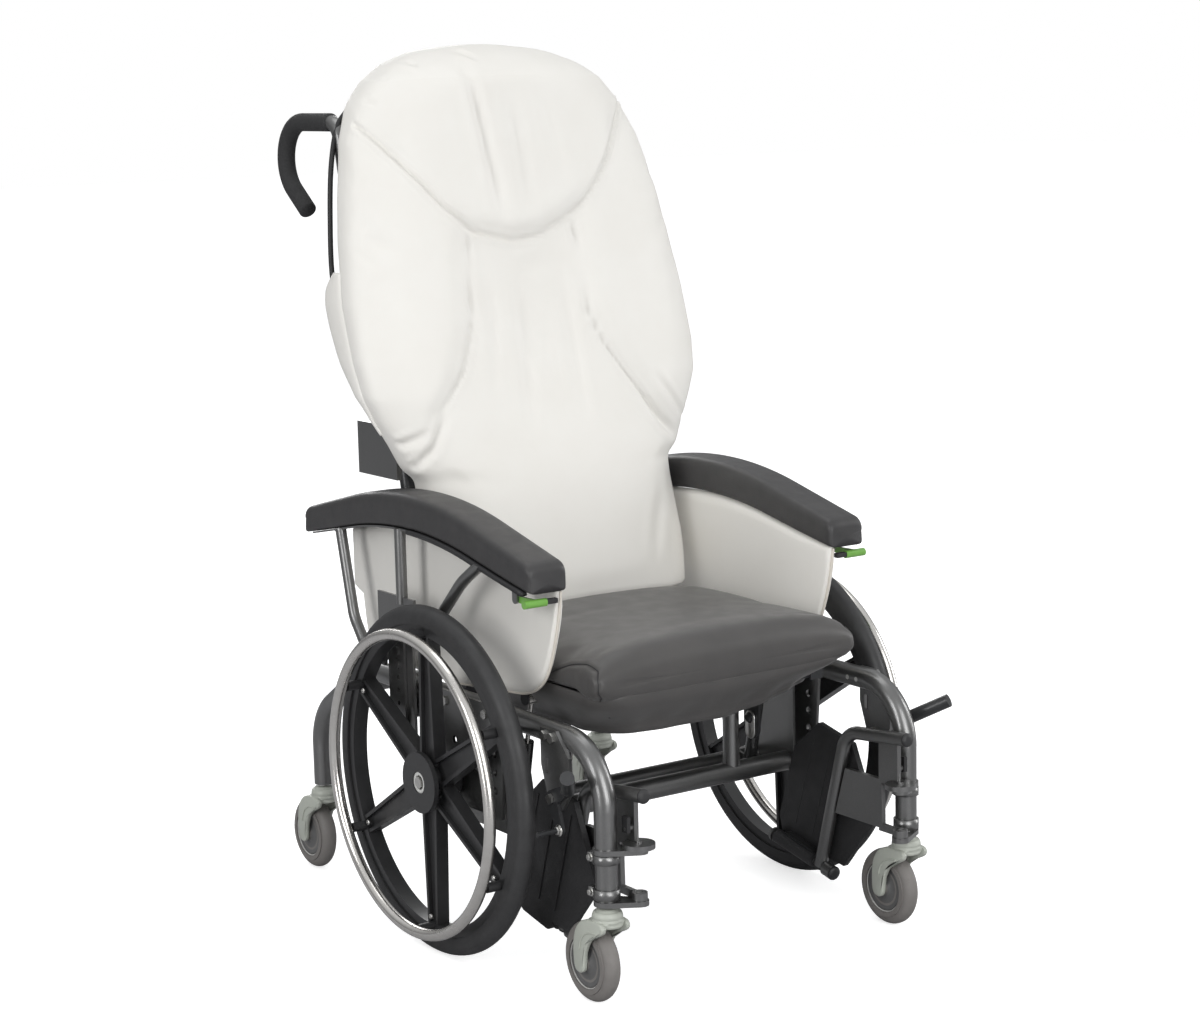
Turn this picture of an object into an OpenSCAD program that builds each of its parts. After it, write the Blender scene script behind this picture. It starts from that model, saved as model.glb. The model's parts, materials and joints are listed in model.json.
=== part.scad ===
// Tilt in space wheelchair with drive wheels in the middle and four casters.
// Drawn in millimetres: +Z up, the front faces -Y, the sitter's left side is +X.
// Pieces are laid out from the drive wheel axle (Y = 0) and moved at the end, so that
// the origin lies on the floor under the middle of the whole chair.

/* [Frame] */
// Diameter of the side frame tube
frame_tube_d = 35; // [30:1:38]
// Distance of each side frame outside the seat cushion's side
frame_out = 38; // [32:1:44]
// Height of the side rail's centre line
rail_z = 405; // [400:1:410]
// Distance of the front legs ahead of the axle
front_leg_y = 392; // [380:1:400]
// Distance of the rear legs behind the axle
rear_leg_y = 492; // [480:1:510]
// Radius of the bend over the front leg
front_bend_r = 95; // [80:1:100]
// Radius of the two bends over the rear leg
rear_bend_r = 98; // [80:1:100]
// Distance behind the axle where the rail starts to fall
rail_fall_y = 313; // [300:1:320]
// Height of the knee over the rear leg
rear_knee_z = 289; // [270:1:300]
// Thickness of the welded and bolted plates
plate_t = 5; // [4:0.5:6]
// Diameter of the front cross tube
cross_tube_d = 35; // [30:1:38]
// Distance of the front cross tube ahead of the axle
cross_tube_y = 90; // [86:1:96]
// Height of the front cross tube
cross_tube_z = 225; // [220:1:230]
// Diameter of the dark middle cross tube
middle_tube_d = 30; // [24:1:32]
// Height of the dark middle cross tube
middle_tube_z = 218; // [214:1:224]
// Diameter of the rear cross tube
rear_tube_d = 25; // [20:1:28]
// Diameter of the two rest posts on the front cross tube
post_d = 28; // [22:1:30]
// Distance of the rest posts inside the seat frame's rails
post_in = 29; // [28:1:50]

/* [Drive wheels] */
// Outer diameter of the tyre
drive_wheel_d = 570; // [550:2:580]
// Distance of the wheel's plane outside the side frame
wheel_out = 64; // [62:1:68]
// Width of the tyre
tyre_w = 32; // [28:1:34]
// Height of the tyre's section
tyre_h = 30; // [26:1:32]
// Radial depth of the plastic rim
rim_h = 16; // [12:1:20]
// Width of the plastic rim
rim_w = 26; // [22:1:28]
// Number of spokes
spoke_count = 6; // [5:1:8]
// Width of a spoke at the hub
spoke_root_w = 46; // [36:1:50]
// Width of a spoke at the rim
spoke_tip_w = 30; // [24:1:34]
// Thickness of the spoke's web
spoke_web_t = 7; // [5:1:9]
// Thickness of the spoke's two ribs
spoke_rib_t = 6; // [4:1:8]
// Height of the spoke's ribs along the axle
spoke_rib_h = 22; // [16:1:24]
// Diameter of the hub barrel
hub_d = 60; // [50:1:64]
// Diameter of the round hub cap
hub_cap_d = 100; // [90:1:104]
// Thickness of the hub cap
hub_cap_t = 8; // [6:1:10]
// Diameter of the axle
axle_d = 12; // [10:0.5:14]
// Diameter of the hand rim tube
hand_rim_tube_d = 19; // [16:1:22]
// Radius of the hand rim's centre line
hand_rim_r = 243; // [238:1:248]
// Distance of the hand rim's plane outside the wheel's plane
hand_rim_out = 47; // [44:1:52]
// Width of the standoffs that carry the hand rim
standoff_w = 16; // [12:1:20]

/* [Casters] */
// Outer diameter of a caster wheel
caster_d = 127; // [115:1:130]
// Width of a caster wheel
caster_w = 32; // [28:1:34]
// Distance of the caster axle behind its stem
caster_trail = 42; // [36:1:46]
// Height of the caster fork's top
fork_top_z = 153; // [150:1:156]
// Thickness of a fork arm
fork_arm_t = 6; // [5:0.5:7]
// Gap between a caster wheel and a fork arm
fork_gap = 3; // [2:0.5:4]
// Diameter of the caster stem
stem_d = 16; // [12:1:18]
// Length of the caster stem inside the leg
stem_h = 50; // [40:1:60]

/* [Tilt] */
// Distance of the tilt axis behind the wheel axle
tilt_y = 155; // [150:1:160]
// Height of the tilt axis
tilt_z = 370; // [369:0.5:371]
// Diameter of the torque tube on the tilt axis
torque_tube_d = 25; // [22:1:26]
// Distance of the gas struts inside the side frames
strut_in = 63; // [60:1:66]
// Distance of the lower strut pivot ahead of the axle
strut_foot_y = 55; // [52:1:58]
// Height of the lower strut pivot
strut_foot_z = 210; // [207:1:213]
// Distance of the upper strut pivot ahead of the axle
strut_head_y = 100; // [97:1:103]
// Height of the upper strut pivot
strut_head_z = 420; // [416:1:424]
// Diameter of the strut's cylinder
strut_d = 22; // [18:1:22]
// Diameter of the strut's rod
strut_rod_d = 8; // [6:0.5:10]
// Length of the strut's cylinder
strut_body_l = 138; // [130:1:142]

/* [Seat] */
// Width of the seat cushion
seat_w = 520; // [500:5:530]
// Distance of the seat cushion's front ahead of the axle
seat_front_y = 326; // [310:1:330]
// Distance of the seat cushion's rear behind the axle
seat_rear_y = 78; // [60:1:90]
// Height of the seat cushion's underside
seat_bottom_z = 451; // [447:1:455]
// Height of the seat cushion's crown
seat_top_z = 531; // [520:1:540]
// Drop of the skirt under the cushion
skirt_drop = 58; // [40:1:66]
// Number of pleats across the front skirt
skirt_pleats = 9; // [5:1:14]
// Width of a seat frame rail
seat_rail_w = 25; // [20:1:28]
// Distance of a seat frame rail inside the cushion's side
seat_rail_in = 60; // [55:1:65]

/* [Back] */
// Height of the back cover's top
back_top_z = 1461; // [1440:1:1480]
// Height of the back cover's lower edge
back_bottom_z = 505; // [500:1:520]
// Reach of the back cover's wings past the seat cushion's sides
back_over = 87; // [70:1:90]
// Backward lean of the back per unit of height
back_lean_share = 0.26; // [0.24:0.01:0.28]
// Thickness of the back cover at its middle
back_t = 78; // [66:1:84]
// Diameter of the back tubes with the push handles
back_tube_d = 25; // [22:1:26]
// Distance of the back tubes outside the seat cushion's side
back_tube_out = 10; // [4:1:14]
// Diameter of the foam grips
grip_d = 31; // [29:0.5:34]
// Radius of the push handle's bend
handle_bend_r = 65; // [58:1:70]
// Height of the push handle's upper run
handle_z = 1328; // [1300:1:1340]
// Distance of the push handle's bend behind the axle
handle_bend_y = 524; // [510:1:530]

/* [Arms] */
// Distance of the arm tubes outside the side frames
arm_out = 30; // [29.6:0.1:30.2]
// Diameter of the arm tubes
arm_tube_d = 19; // [16:1:19]
// Length of the arm pad
arm_pad_l = 715; // [690:5:730]
// Width of the arm pad
arm_pad_w = 72; // [64:1:76]
// Thickness of the arm pad at its ends
arm_pad_t = 45; // [36:1:48]
// Height of the arm pad's crest
arm_pad_z = 732; // [720:1:740]
// Distance of the crest behind the axle
arm_pad_y = 115; // [105:1:125]
// Radius of the arm pad's curved middle
arm_pad_r = 800; // [760:10:900]
// Travel of the arm in height, down from its upper setting
arm_travel = 44; // [22:22:44]
// Pitch of the holes in the arm's stem
arm_hole_pitch = 22; // [20:1:24]
// Thickness of the side panel
side_panel_t = 16; // [10:1:18]

/* [Footrests] */
// Distance of the hanger's hinge inside the side frame
hanger_in = 39; // [38:0.5:41]
// Distance of the hanger's hinge ahead of the axle
hanger_hinge_y = 423; // [420:1:426]
// Diameter of the hanger tube
hanger_tube_d = 22; // [19:1:23]
// Height of the hanger tube's upper run
hanger_top_z = 330; // [322:1:336]
// Thickness of the footplate
footplate_t = 10; // [8:1:11]

/* [Wheel locks] */
// Distance of the lock's pivot ahead of the axle
lock_pivot_y = 292; // [290:1:294]
// Height of the lock's pivot
lock_pivot_z = 312; // [310:1:314]
// Diameter of the lock's shoe rod
lock_rod_d = 8; // [6:0.5:9]
// Length of the lock's grip
lock_grip_l = 85; // [70:1:90]
// Diameter of the lock's grip
lock_grip_d = 22; // [18:1:24]

/* [Hidden] */
$fn = 48;
cut = 1; // overrun of every cut past a face
fit = 0.05; // running clearance on the radius of a pivot
seat_gap = 0.3; // gap between a piece and the piece it rests on
bolt_d = 8;
bolt_head_d = 16;
bolt_head_h = 5;
bend_swell = 0.3; // growth of a tube's diameter in its bends
bend_lap = 1.5; // reach of a straight run into a bend

// Placing
handle_turn = 143; // degrees that the push handle bends through
hanger_disc_d = 50;
front_reach = hanger_hinge_y + hanger_disc_d / 2;
rear_reach = handle_bend_y + handle_bend_r + (grip_d + bend_swell) / 2;
frame_shift = (rear_reach - front_reach) / 2;

// Widths, all led from the seat cushion's
seat_half = seat_w / 2;
frame_x = seat_half + frame_out;
drive_wheel_x = frame_x + wheel_out;
strut_x = frame_x - strut_in;
seat_rail_x = seat_half - seat_rail_in;
post_x = seat_rail_x - post_in;
arm_x = frame_x + arm_out;
hanger_x = frame_x - hanger_in;

// Frame
axle_z = drive_wheel_d / 2;
stem_washer_h = 10;
stem_washer_d = 30;
leg_bottom_z = fork_top_z + stem_washer_h;
rail_outer_x = frame_x + frame_tube_d / 2;
rail_inner_x = frame_x - frame_tube_d / 2;
rail_bottom_z = rail_z - frame_tube_d / 2;
end_plate_edge = 2;
end_plate_front_y = cross_tube_y + cross_tube_d / 2 + end_plate_edge;
end_plate_rear_y = 42;
axle_plate_front_y = 147;
axle_plate_rear_y = 50;
axle_plate_drop = 44;
axle_plate_low_z = axle_z - axle_plate_drop;
axle_plate_corner = 10;
axle_plate_slope = 24;
axle_plate_step = 30;
axle_plate_waist = 40;
axle_plate_flare = 6;
axle_hole_pitch = 30;
axle_hole_y = 120;
axle_hole_d = 12;
axle_plate_bolts_y = [-96, 24];
lock_bracket_bolts_y = [-288, -266];
rail_bolts_y = concat(axle_plate_bolts_y, lock_bracket_bolts_y);
end_plate_in = 8;
end_plate_x = frame_x - end_plate_in;
gusset_h = 20;
hinge_lug_wall = 3;
hinge_lug_r = 14;
hinge_pin_up = 3;
rear_tube_y = 392;
rear_fall_share = (rail_z - rear_knee_z) / (rear_leg_y - rail_fall_y);
rear_tube_z = rail_z - (rear_tube_y - rail_fall_y) * rear_fall_share;
lug_t = 5;
lug_r = 14;
strut_lug_gap = 2;

// Drive wheel
wheel_r = drive_wheel_d / 2;
rim_r = wheel_r - tyre_h;
rim_inner_r = rim_r - rim_h;
hub_cap_back = 18;
hub_cap_out = hand_rim_out - hub_cap_back;
hub_barrel_gap = 6;
hub_barrel_in = drive_wheel_x - rail_outer_x - plate_t - hub_barrel_gap;
spoke_overlap = 2;
axle_nut_d = 20;
axle_nut_h = 6;
cap_well_d = 36;
cap_well_h = 5;

// Casters
caster_r = caster_d / 2;
fork_in = caster_w / 2 + fork_gap;
caster_axle_d = 8;
caster_tyre_h = 22;
caster_hub_r = caster_r - caster_tyre_h;
caster_tread_r = 14;
caster_hub_in = 4;
caster_boss_d = 26;
caster_boss_gap = 1;
fork_cap_d = 44;
fork_cap_h = 6;
fork_cap_lap = 4;
fork_shoulder_y = 4;
fork_shoulder_drop = 30;
fork_shoulder_r = 22;
fork_foot_r = 16;
fork_crown_front = 20;
fork_crown_l = 48;
fork_pin_out = 3;
fork_crown_h = 14;
caster_places = [[1, -front_leg_y], [-1, -front_leg_y], [1, rear_leg_y], [-1, rear_leg_y]];

// Tilt
strut_run = [0, -(strut_head_y - strut_foot_y), strut_head_z - strut_foot_z];
strut_l = norm(strut_run);
strut_lean = atan2(strut_head_y - strut_foot_y, strut_head_z - strut_foot_z);
strut_eye_d = 22;
strut_pin_d = 10;
strut_eye_slack = 2;
strut_eye_gap = 1;
strut_rod_foot = 25;
bearing_w = 16;
bearing_wall = 8;
seat_rail_z = 430;
seat_rail_front_y = 285;
seat_rail_rear_y = 225;
seat_cross_d = 22;
seat_link_y = 112;
seat_link_low_z = 304;
seat_link_low_r = 20;
seat_link_high_r = 20;
stud_head_gap = 0.5;
stud_head_t = 2.5;

// Seat side plates and arms
side_plate_gap = 6;
side_plate_x = rail_outer_x + side_plate_gap;
side_plate_corner = 20;
side_plate_half = 40;
side_plate_low_z = 300;
side_plate_high_z = 500;
arm_stem_gap = 0.5;
arm_stem_x = side_plate_x + plate_t + arm_stem_gap;
arm_stem_half = 20;
arm_stem_low_z = 312;
arm_pin_d = 10;
arm_pin_low_z = 444;
arm_slack = 0.2;
arm_pin_head_t = 4;
arm_pin_head_d = 16;
arm_hole_rows = 6;
arm_head_gap = 5;
arm_head_low_z = side_plate_high_z + arm_head_gap;
arm_head_high_z = 560;
arm_head_front_y = 98;
arm_head_rear_y = 214;
arm_pad_bend = 14; // degrees that each end of the pad bends down
arm_pad_front_y = 250;
arm_pad_steps = 22;
arm_pad_in = 32;
arm_pad_belly = 12;
arm_rail_t = 3;
arm_rail_w = 44;
arm_rail_out = 14;
arm_root_up = 22;
arm_root_in = 8;
arm_tube_up = 8;
arm_front_top_y = -117;
arm_front_knee = [-50, 612];
arm_front_heel_y = 38;
arm_front_bend_r = 150;
arm_front_heel_r = 50;
arm_mid_y = 140;
arm_mid_in = 12;
arm_rear_top_y = 342;
arm_rear_knee = [304, 500];
arm_rear_heel = [268, 456];
arm_rear_bend_r = 60;
arm_rear_heel_r = 40;
arm_tail_y = 197;
arm_tail_low_z = 434;
arm_tail_root_z = 446;
arm_lever_hinge = [-196, 606];
arm_knob_y = -243;
arm_knob_d = 13;
arm_knob_in = 31;
arm_knob_out = 9;
arm_lever_in = 14;
arm_lever_t = 5;
arm_lever_root_r = 5;
arm_lever_pin_d = 4;
arm_lever_gap = 0.3;
arm_lug_t = 4;
arm_lug_r = 7;
arm_lug_top_y = -190;
arm_lever_tip_r = 6;
panel_gap = 2.5;
panel_last = 20;
panel_edge = [
    [400, 535], [360, 516], [355, 450], [330, 432], [205, 418], [176, 418], [176, 432], [134, 432],
    [134, 418], [60, 418], [-60, 431], [-110, 434], [-155, 443], [-190, 466], [-215, 500], [-235, 566]
];

// Seat cushion and skirt
seat_ring_steps = 40;
seat_rows = 24;
seat_nose = 60;
seat_side_r = 24;
seat_nose_share = 0.12; // share of the cushion's height that its front edge has
seat_side_power = 0.34; // squareness of the cushion's sides
seat_face_power = 0.6; // squareness of the cushion's top and bottom
seat_row_crowd = 0.35; // crowding of the rows towards the front
seat_crown = 14;
seat_seam_up = 26;
skirt_t = 3;
skirt_wave = 4;
pleat_steps = 8;
skirt_in = 6;
skirt_front_in = 12;
skirt_rear_y = 20;

// Back
back_rows = 26;
back_front_steps = 30;
back_rear_shares = [-0.96, -0.6, 0, 0.6, 0.96];
back_side_power = 0.62; // squareness of the cover's sides
back_face_power = 0.55; // flatness of the cover's front
back_end_squeeze = 0.605; // share of its thickness that the cover has at both ends
back_full_squeeze = 1.1;
pillow_rise = 16;
wing_rise = 12;
back_low_y = 74;
back_rear_t = 16;
back_fade_low = 30;
back_fade_high = 160;
pillow_edge = 26;
shell_t = 4;
shell_bow = 10;
shell_gap = 0.9;
shell_w_share = 0.66;
shell_first_row = 4;
shell_last_row = 24;
shell_steps = 12;
back_foot_y = 203;
back_foot_z = 416;
back_head_y = 399;
back_tube_foot_z = 840;
upright_in = 25;
upright_x = seat_half - upright_in;
back_w = seat_w + 2 * back_over;
back_tube_x = seat_half + back_tube_out;
back_seat_share = 0.7493; // share of the cover's width table that stands for the seat's width
pillow_low_share = 0.635; // height of the pillow seam's lowest point, as a share of the cover's
pillow_curl = 1.1; // rise of the pillow seam towards the sides
wing_edge_low = -0.02; // start of a wing's rise, as a share of the cover's width from its seam
wing_edge_high = 0.09; // end of that rise
upright_top_z = 1180;
back_bar_heights = [900, 1125];
back_bar_d = 16;
back_stub_heights = [880, 1120];
back_stub_d = 18;
back_top_bend_r = 34;
grip_tail = 52;
grip_start = 30;
grip_end_t = 4;
clamp_low_z = 730;
clamp_high_z = 820;
clamp_w = 38;
clamp_wall = 8;
clamp_d = 130;
clamp_knob_d = 20;
clamp_knob_h = 12;

// Footrests
hanger_pin_d = 10;
hanger_lug_t = 8;
hanger_disc_t = 8;
hanger_lug_z = 244;
hanger_foot_lug_z = leg_bottom_z;
hanger_tube_out = 1;
hanger_cap_y = -437;
hanger_cap_rise = 5;
hanger_knee = [-288, 320];
hanger_foot = [-218, 74];
hanger_knee_r = 45;
hanger_web_t = 8;
hanger_web = [[-288, 258], [-380, 258], [-381, 176], [-262, 176]];
hanger_eye_d = 24;
hanger_eye_h = 12;
hanger_arm_start = 4;
hanger_arm_l = 46;
hanger_pin_room = 12;
flip_pin_d = 12;
flip_sleeve_d = 24;
flip_front = [-250, 68];
flip_rear = [-92, 100];
flip_boss_share = 0.12;
flip_sleeve_share = 0.3;
flip_head_share = 0.03;
flip_web_r = 15;
flip_web_share = 0.1;
footplate_out = 14;
footplate_edge = [
    [-91, 131], [-134, 262], [-199, 315], [-285, 296], [-342, 172], [-291, 115], [-262, 80], [-100, 102]
];
latch_t = 6;
latch_l = 14;
latch_h = 25;
latch_out = 12;
latch_z = 276;
latch_pin_d = 5;
latch_pin_up = 6;
latch_boss_d = 10;

// Wheel locks
lock_plate_t = 6;
lock_plate_x = rail_outer_x + bend_swell;
lock_plate_front = 40;
lock_plate_rear = 36;
lock_plate_up = 12;
lock_plate_low = 16;
lock_plate_neck = [14, 20];
lock_slot_y = 20;
lock_slot_size = [9, 24];
lock_gap = 0.5;
lock_lever_t = 6;
lock_lever_x = lock_plate_x + lock_plate_t + lock_gap;
lock_lever_r = 13;
lock_tip_r = 9;
lock_shoe_y = 311;
lock_shoe_z = 266;
lock_shoe_l = 40;
lock_bolt_d = 8;
lock_neck_d = 10;
lock_neck_root = [-325, 330];
lock_neck_lap = 6;
lock_grip_out = 60.5;
lock_grip_tip = [rail_outer_x + lock_grip_out, -409, 377];
lock_grip_way = [0.507, -0.735, 0.449];

// Names of all the pieces

// Direction of a vector
function unit(v) = v / norm(v);

// Angle by which a path turns at its middle point
function path_turn(before, at, after) = acos(unit(at - before) * unit(after - at));

// Distance from a corner to where its round bend starts
function bend_setback(before, at, after, bend) = bend * tan(path_turn(before, at, after) / 2);

// Smooth step from 0 to 1 between two values
function ease(low, high, value) =
    let (share = max(0, min(1, (value - low) / (high - low)))) share * share * (3 - 2 * share);

// Value that a table of [place, value] rows gives at a place between its rows
function table_value(rows, place, row = 0) =
    place <= rows[0][0] ? rows[0][1]
    : row == len(rows) - 1 ? rows[row][1]
    : place <= rows[row + 1][0]
        ? rows[row][1] + (rows[row + 1][1] - rows[row][1])
            * (place - rows[row][0]) / (rows[row + 1][0] - rows[row][0])
        : table_value(rows, place, row + 1);

// Places a piece that was laid out from the axle in the chair's own frame
module placed() {
    translate([0, -frame_shift, 0]) children();
}

// The right-hand twin of a left-hand piece
module right_side() {
    placed() mirror([1, 0, 0]) children();
}

// A part of one piece that stands on both sides of the chair
module both_sides() {
    for (side = [0, 1]) {
        mirror([side, 0, 0]) children();
    }
}

// A round rod from one point to another
module rod(from, to, d) {
    run = to - from;
    translate(from)
    rotate([0, acos(run[2] / norm(run)), atan2(run[1], run[0])])
    cylinder(d = d, h = norm(run));
}

// The round bend of a tube at the middle one of three points
module tube_bend(before, at, after, bend, d) {
    into = unit(at - before);
    turn = path_turn(before, at, after);
    normal = unit(cross(into, unit(after - at)));
    inward = cross(normal, into);
    centre = at - into * bend_setback(before, at, after, bend) + inward * bend;
    multmatrix([
        [-inward[0], into[0], normal[0], centre[0]],
        [-inward[1], into[1], normal[1], centre[1]],
        [-inward[2], into[2], normal[2], centre[2]],
        [0, 0, 0, 1]
    ])
    rotate_extrude(angle = turn)
    translate([bend, 0])
    circle(d = d + bend_swell);
}

// A tube through straight runs and round bends: the runs reach a little into the bends,
// which are a hair thicker, as on a tube bent over a former
module bent_tube(points, bends, d) {
    last = len(points) - 1;
    for (i = [0 : last - 1]) {
        run = unit(points[i + 1] - points[i]);
        start_cut = i == 0 ? 0
            : bend_setback(points[i - 1], points[i], points[i + 1], bends[i - 1]) - bend_lap;
        end_cut = i + 1 == last ? 0
            : bend_setback(points[i], points[i + 1], points[i + 2], bends[i]) - bend_lap;
        rod(points[i] + run * start_cut, points[i + 1] - run * end_cut, d);
    }
    for (i = [1 : last - 1]) {
        tube_bend(points[i - 1], points[i], points[i + 1], bends[i - 1], d);
    }
}

// Lays a flat outline drawn in Y and Z on a plane across X, with its thickness outward
module side_sheet(x, thickness) {
    translate([x, 0, 0])
    rotate([90, 0, 90])
    linear_extrude(thickness)
    children();
}

// A cylinder along X between two places
module cross_rod(x_from, x_to, y, z, d) {
    translate([x_from, y, z]) rotate([0, 90, 0]) cylinder(d = d, h = x_to - x_from);
}

// Flat link with a round end at each of two points
module link(p, q, rp, rq) {
    run = q - p;
    lean = acos((rp - rq) / norm(run));
    heading = atan2(run[1], run[0]);
    ends = [[p, rp, 1], [q, rq, 1], [q, rq, -1], [p, rp, -1]];
    translate(p) circle(r = rp);
    translate(q) circle(r = rq);
    polygon([for (e = ends) e[0] + e[1] * [cos(heading + e[2] * lean), sin(heading + e[2] * lean)]]);
}

// A hexagon bolt head or nut, its face at x and standing outward along X
module hex_head(x, y, z, d, h) {
    translate([x, y, z]) rotate([0, 90, 0]) cylinder(d = d, h = h, $fn = 6);
}

// A closed body through rings of points, each ring the same number of points. The two end
// rings are closed by strips between a ring's first half and its second half.
module loft(rings) {
    count = len(rings[0]);
    rows = len(rings);
    top = (rows - 1) * count;
    polyhedron(
        points = [for (ring = rings) each ring],
        faces = concat(
            [for (i = [0 : rows - 2], j = [0 : count - 1]) each let (
                a = i * count + j,
                b = i * count + (j + 1) % count
            ) [[a, b, a + count], [b, b + count, a + count]]],
            [for (j = [0 : count / 2 - 2]) each let (k = count - 1 - j)
                [[j, k, j + 1], [j + 1, k, k - 1]]],
            [for (j = [0 : count / 2 - 2]) each let (k = count - 1 - j)
                [[top + j, top + j + 1, top + k], [top + j + 1, top + k - 1, top + k]]]
        )
    );
}

// Path of a side frame tube from the front leg over the rail to the rear leg
function side_frame_path() = [
    [frame_x, -front_leg_y, leg_bottom_z],
    [frame_x, -front_leg_y, rail_z],
    [frame_x, rail_fall_y, rail_z],
    [frame_x, rear_leg_y, rear_knee_z],
    [frame_x, rear_leg_y, leg_bottom_z]
];

// Lug with a pin that carries the footrest hanger's hinge
module hinge_lug(z) {
    translate([0, 0, z])
    linear_extrude(hanger_lug_t)
    link(
        [frame_x, -front_leg_y], [hanger_x, -hanger_hinge_y],
        frame_tube_d / 2 + hinge_lug_wall, hinge_lug_r
    );
    translate([hanger_x, -hanger_hinge_y, z])
    cylinder(d = hanger_pin_d, h = hanger_lug_t + seat_gap + hanger_disc_t + hinge_pin_up);
}

// Side frame with its legs, stem bores, bolt holes and hinge lugs
module side_frame() {
    color("#3c3e40")
    difference() {
        union() {
            bent_tube(side_frame_path(), [front_bend_r, rear_bend_r, rear_bend_r], frame_tube_d);
            hinge_lug(hanger_lug_z);
            hinge_lug(hanger_foot_lug_z);
        }
        for (y = [-front_leg_y, rear_leg_y]) {
            translate([frame_x, y, leg_bottom_z - cut])
            cylinder(d = stem_d + 2 * fit, h = stem_h + 2 * cut);
        }
        for (y = rail_bolts_y) {
            cross_rod(rail_inner_x - cut, rail_outer_x + cut, y, rail_z, bolt_d + 2 * fit);
        }
    }
}
module side_frame_left() { placed() side_frame(); }
module side_frame_right() { right_side() side_frame(); }

// End plate that ties the cross tubes to the rail from below
module end_plate() {
    difference() {
        side_sheet(end_plate_x, plate_t)
        polygon([
            [-end_plate_front_y, cross_tube_z - cross_tube_d / 2],
            [end_plate_rear_y - cross_tube_d, cross_tube_z - cross_tube_d / 2],
            [end_plate_rear_y, rail_bottom_z],
            [end_plate_rear_y, rail_z],
            [-end_plate_front_y, rail_z]
        ]);
        rod([frame_x, -front_leg_y, rail_z], [frame_x, rail_fall_y, rail_z], frame_tube_d);
    }
}

// Pair of lugs for one strut foot, between the front and the middle cross tube
module strut_lugs() {
    inner = strut_x - strut_eye_d / 2 - strut_lug_gap;
    outer = strut_x + strut_eye_d / 2 + strut_lug_gap;
    for (x = [inner - lug_t, outer]) {
        side_sheet(x, lug_t)
        union() {
            link([-cross_tube_y, cross_tube_z], [-strut_foot_y, strut_foot_z], cross_tube_d / 2, lug_r);
            link([-strut_foot_y, strut_foot_z], [0, middle_tube_z], lug_r, middle_tube_d / 2);
        }
    }
    cross_rod(inner - lug_t, outer + lug_t, -strut_foot_y, strut_foot_z, strut_pin_d);
}

// Cross frame: both cross tubes, rest posts, gussets, end plates and strut lugs in one weldment
module cross_frame() {
    span = 2 * (end_plate_x + plate_t);
    post_top_z = seat_rail_z - seat_cross_d / 2 - seat_gap;
    placed() color("#2f3133") {
        cross_rod(-span / 2, span / 2, -cross_tube_y, cross_tube_z, cross_tube_d);
        cross_rod(-span / 2, span / 2, 0, middle_tube_z, middle_tube_d);
        both_sides() {
            end_plate();
            strut_lugs();
            translate([post_x, -cross_tube_y, cross_tube_z])
            cylinder(d = post_d, h = post_top_z - cross_tube_z);
            translate([post_x, -cross_tube_y + plate_t / 2, cross_tube_z])
            rotate([90, 0, 0])
            linear_extrude(plate_t)
            polygon([
                [-gusset_h, 0], [gusset_h, 0],
                [post_d / 2, 2 * gusset_h], [-post_d / 2, 2 * gusset_h]
            ]);
        }
    }
}

// Rear cross tube, coped against the falling part of both rails
module rear_cross_tube() {
    fall_top = [frame_x, rail_fall_y, rail_z];
    fall_foot = [frame_x, rear_leg_y, rear_knee_z];
    placed() color("#2f3133")
    difference() {
        cross_rod(-frame_x, frame_x, rear_tube_y, rear_tube_z, rear_tube_d);
        both_sides() rod(fall_top, fall_foot, frame_tube_d);
    }
}

// Perforated plate outside the rail that holds the drive wheel's axle
module axle_plate() {
    rows = 3;
    color("#3c3e40")
    side_sheet(rail_outer_x, plate_t)
    difference() {
        polygon([
            [-axle_plate_front_y + axle_plate_corner, axle_plate_low_z],
            [axle_plate_rear_y - axle_plate_slope, axle_plate_low_z],
            [axle_plate_rear_y, axle_z + axle_plate_step],
            [axle_plate_rear_y, rail_z + frame_tube_d / 2],
            [-axle_plate_front_y - axle_plate_flare, rail_z + frame_tube_d / 2],
            [-axle_plate_front_y, rail_z - axle_plate_waist]
        ]);
        translate([0, axle_z]) circle(d = axle_d + 2 * fit);
        for (y = axle_plate_bolts_y) {
            translate([y, rail_z]) circle(d = bolt_d + 2 * fit);
        }
        for (row = [0 : rows - 1]) {
            translate([-axle_hole_y, axle_z + row * axle_hole_pitch]) circle(d = axle_hole_d);
        }
        for (row = [1 : rows - 1]) {
            translate([0, axle_z + row * axle_hole_pitch]) circle(d = axle_hole_d);
        }
        translate([-axle_hole_y / 2, axle_z + axle_hole_pitch]) circle(d = 2 * axle_hole_d);
    }
}
module axle_plate_left() { placed() axle_plate(); }
module axle_plate_right() { right_side() axle_plate(); }

// Fixed axles with a head inside the plate and a nut in the hub cap's well
module wheel_axles() {
    cap_face = drive_wheel_x + hub_cap_out - cap_well_h + seat_gap;
    placed() color("silver")
    both_sides() {
        cross_rod(rail_outer_x - cut, cap_face + axle_nut_h, 0, axle_z, axle_d);
        hex_head(rail_outer_x - axle_nut_h, 0, axle_z, axle_nut_d, axle_nut_h);
        hex_head(cap_face, 0, axle_z, axle_nut_d, axle_nut_h);
    }
}

// Bearing blocks under both rails, one round the torque tube on each side
module tilt_bearings() {
    ring_r = torque_tube_d / 2 + bearing_wall;
    placed() color("#2f3133")
    both_sides()
    difference() {
        side_sheet(frame_x - bearing_w / 2, bearing_w)
        union() {
            translate([tilt_y, tilt_z]) circle(r = ring_r);
            translate([tilt_y - ring_r, tilt_z]) square([2 * ring_r, rail_z - tilt_z]);
        }
        cross_rod(rail_inner_x, rail_outer_x, tilt_y, tilt_z, torque_tube_d + 2 * fit);
        rod([frame_x, 0, rail_z], [frame_x, 2 * tilt_y, rail_z], frame_tube_d);
    }
}

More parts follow.
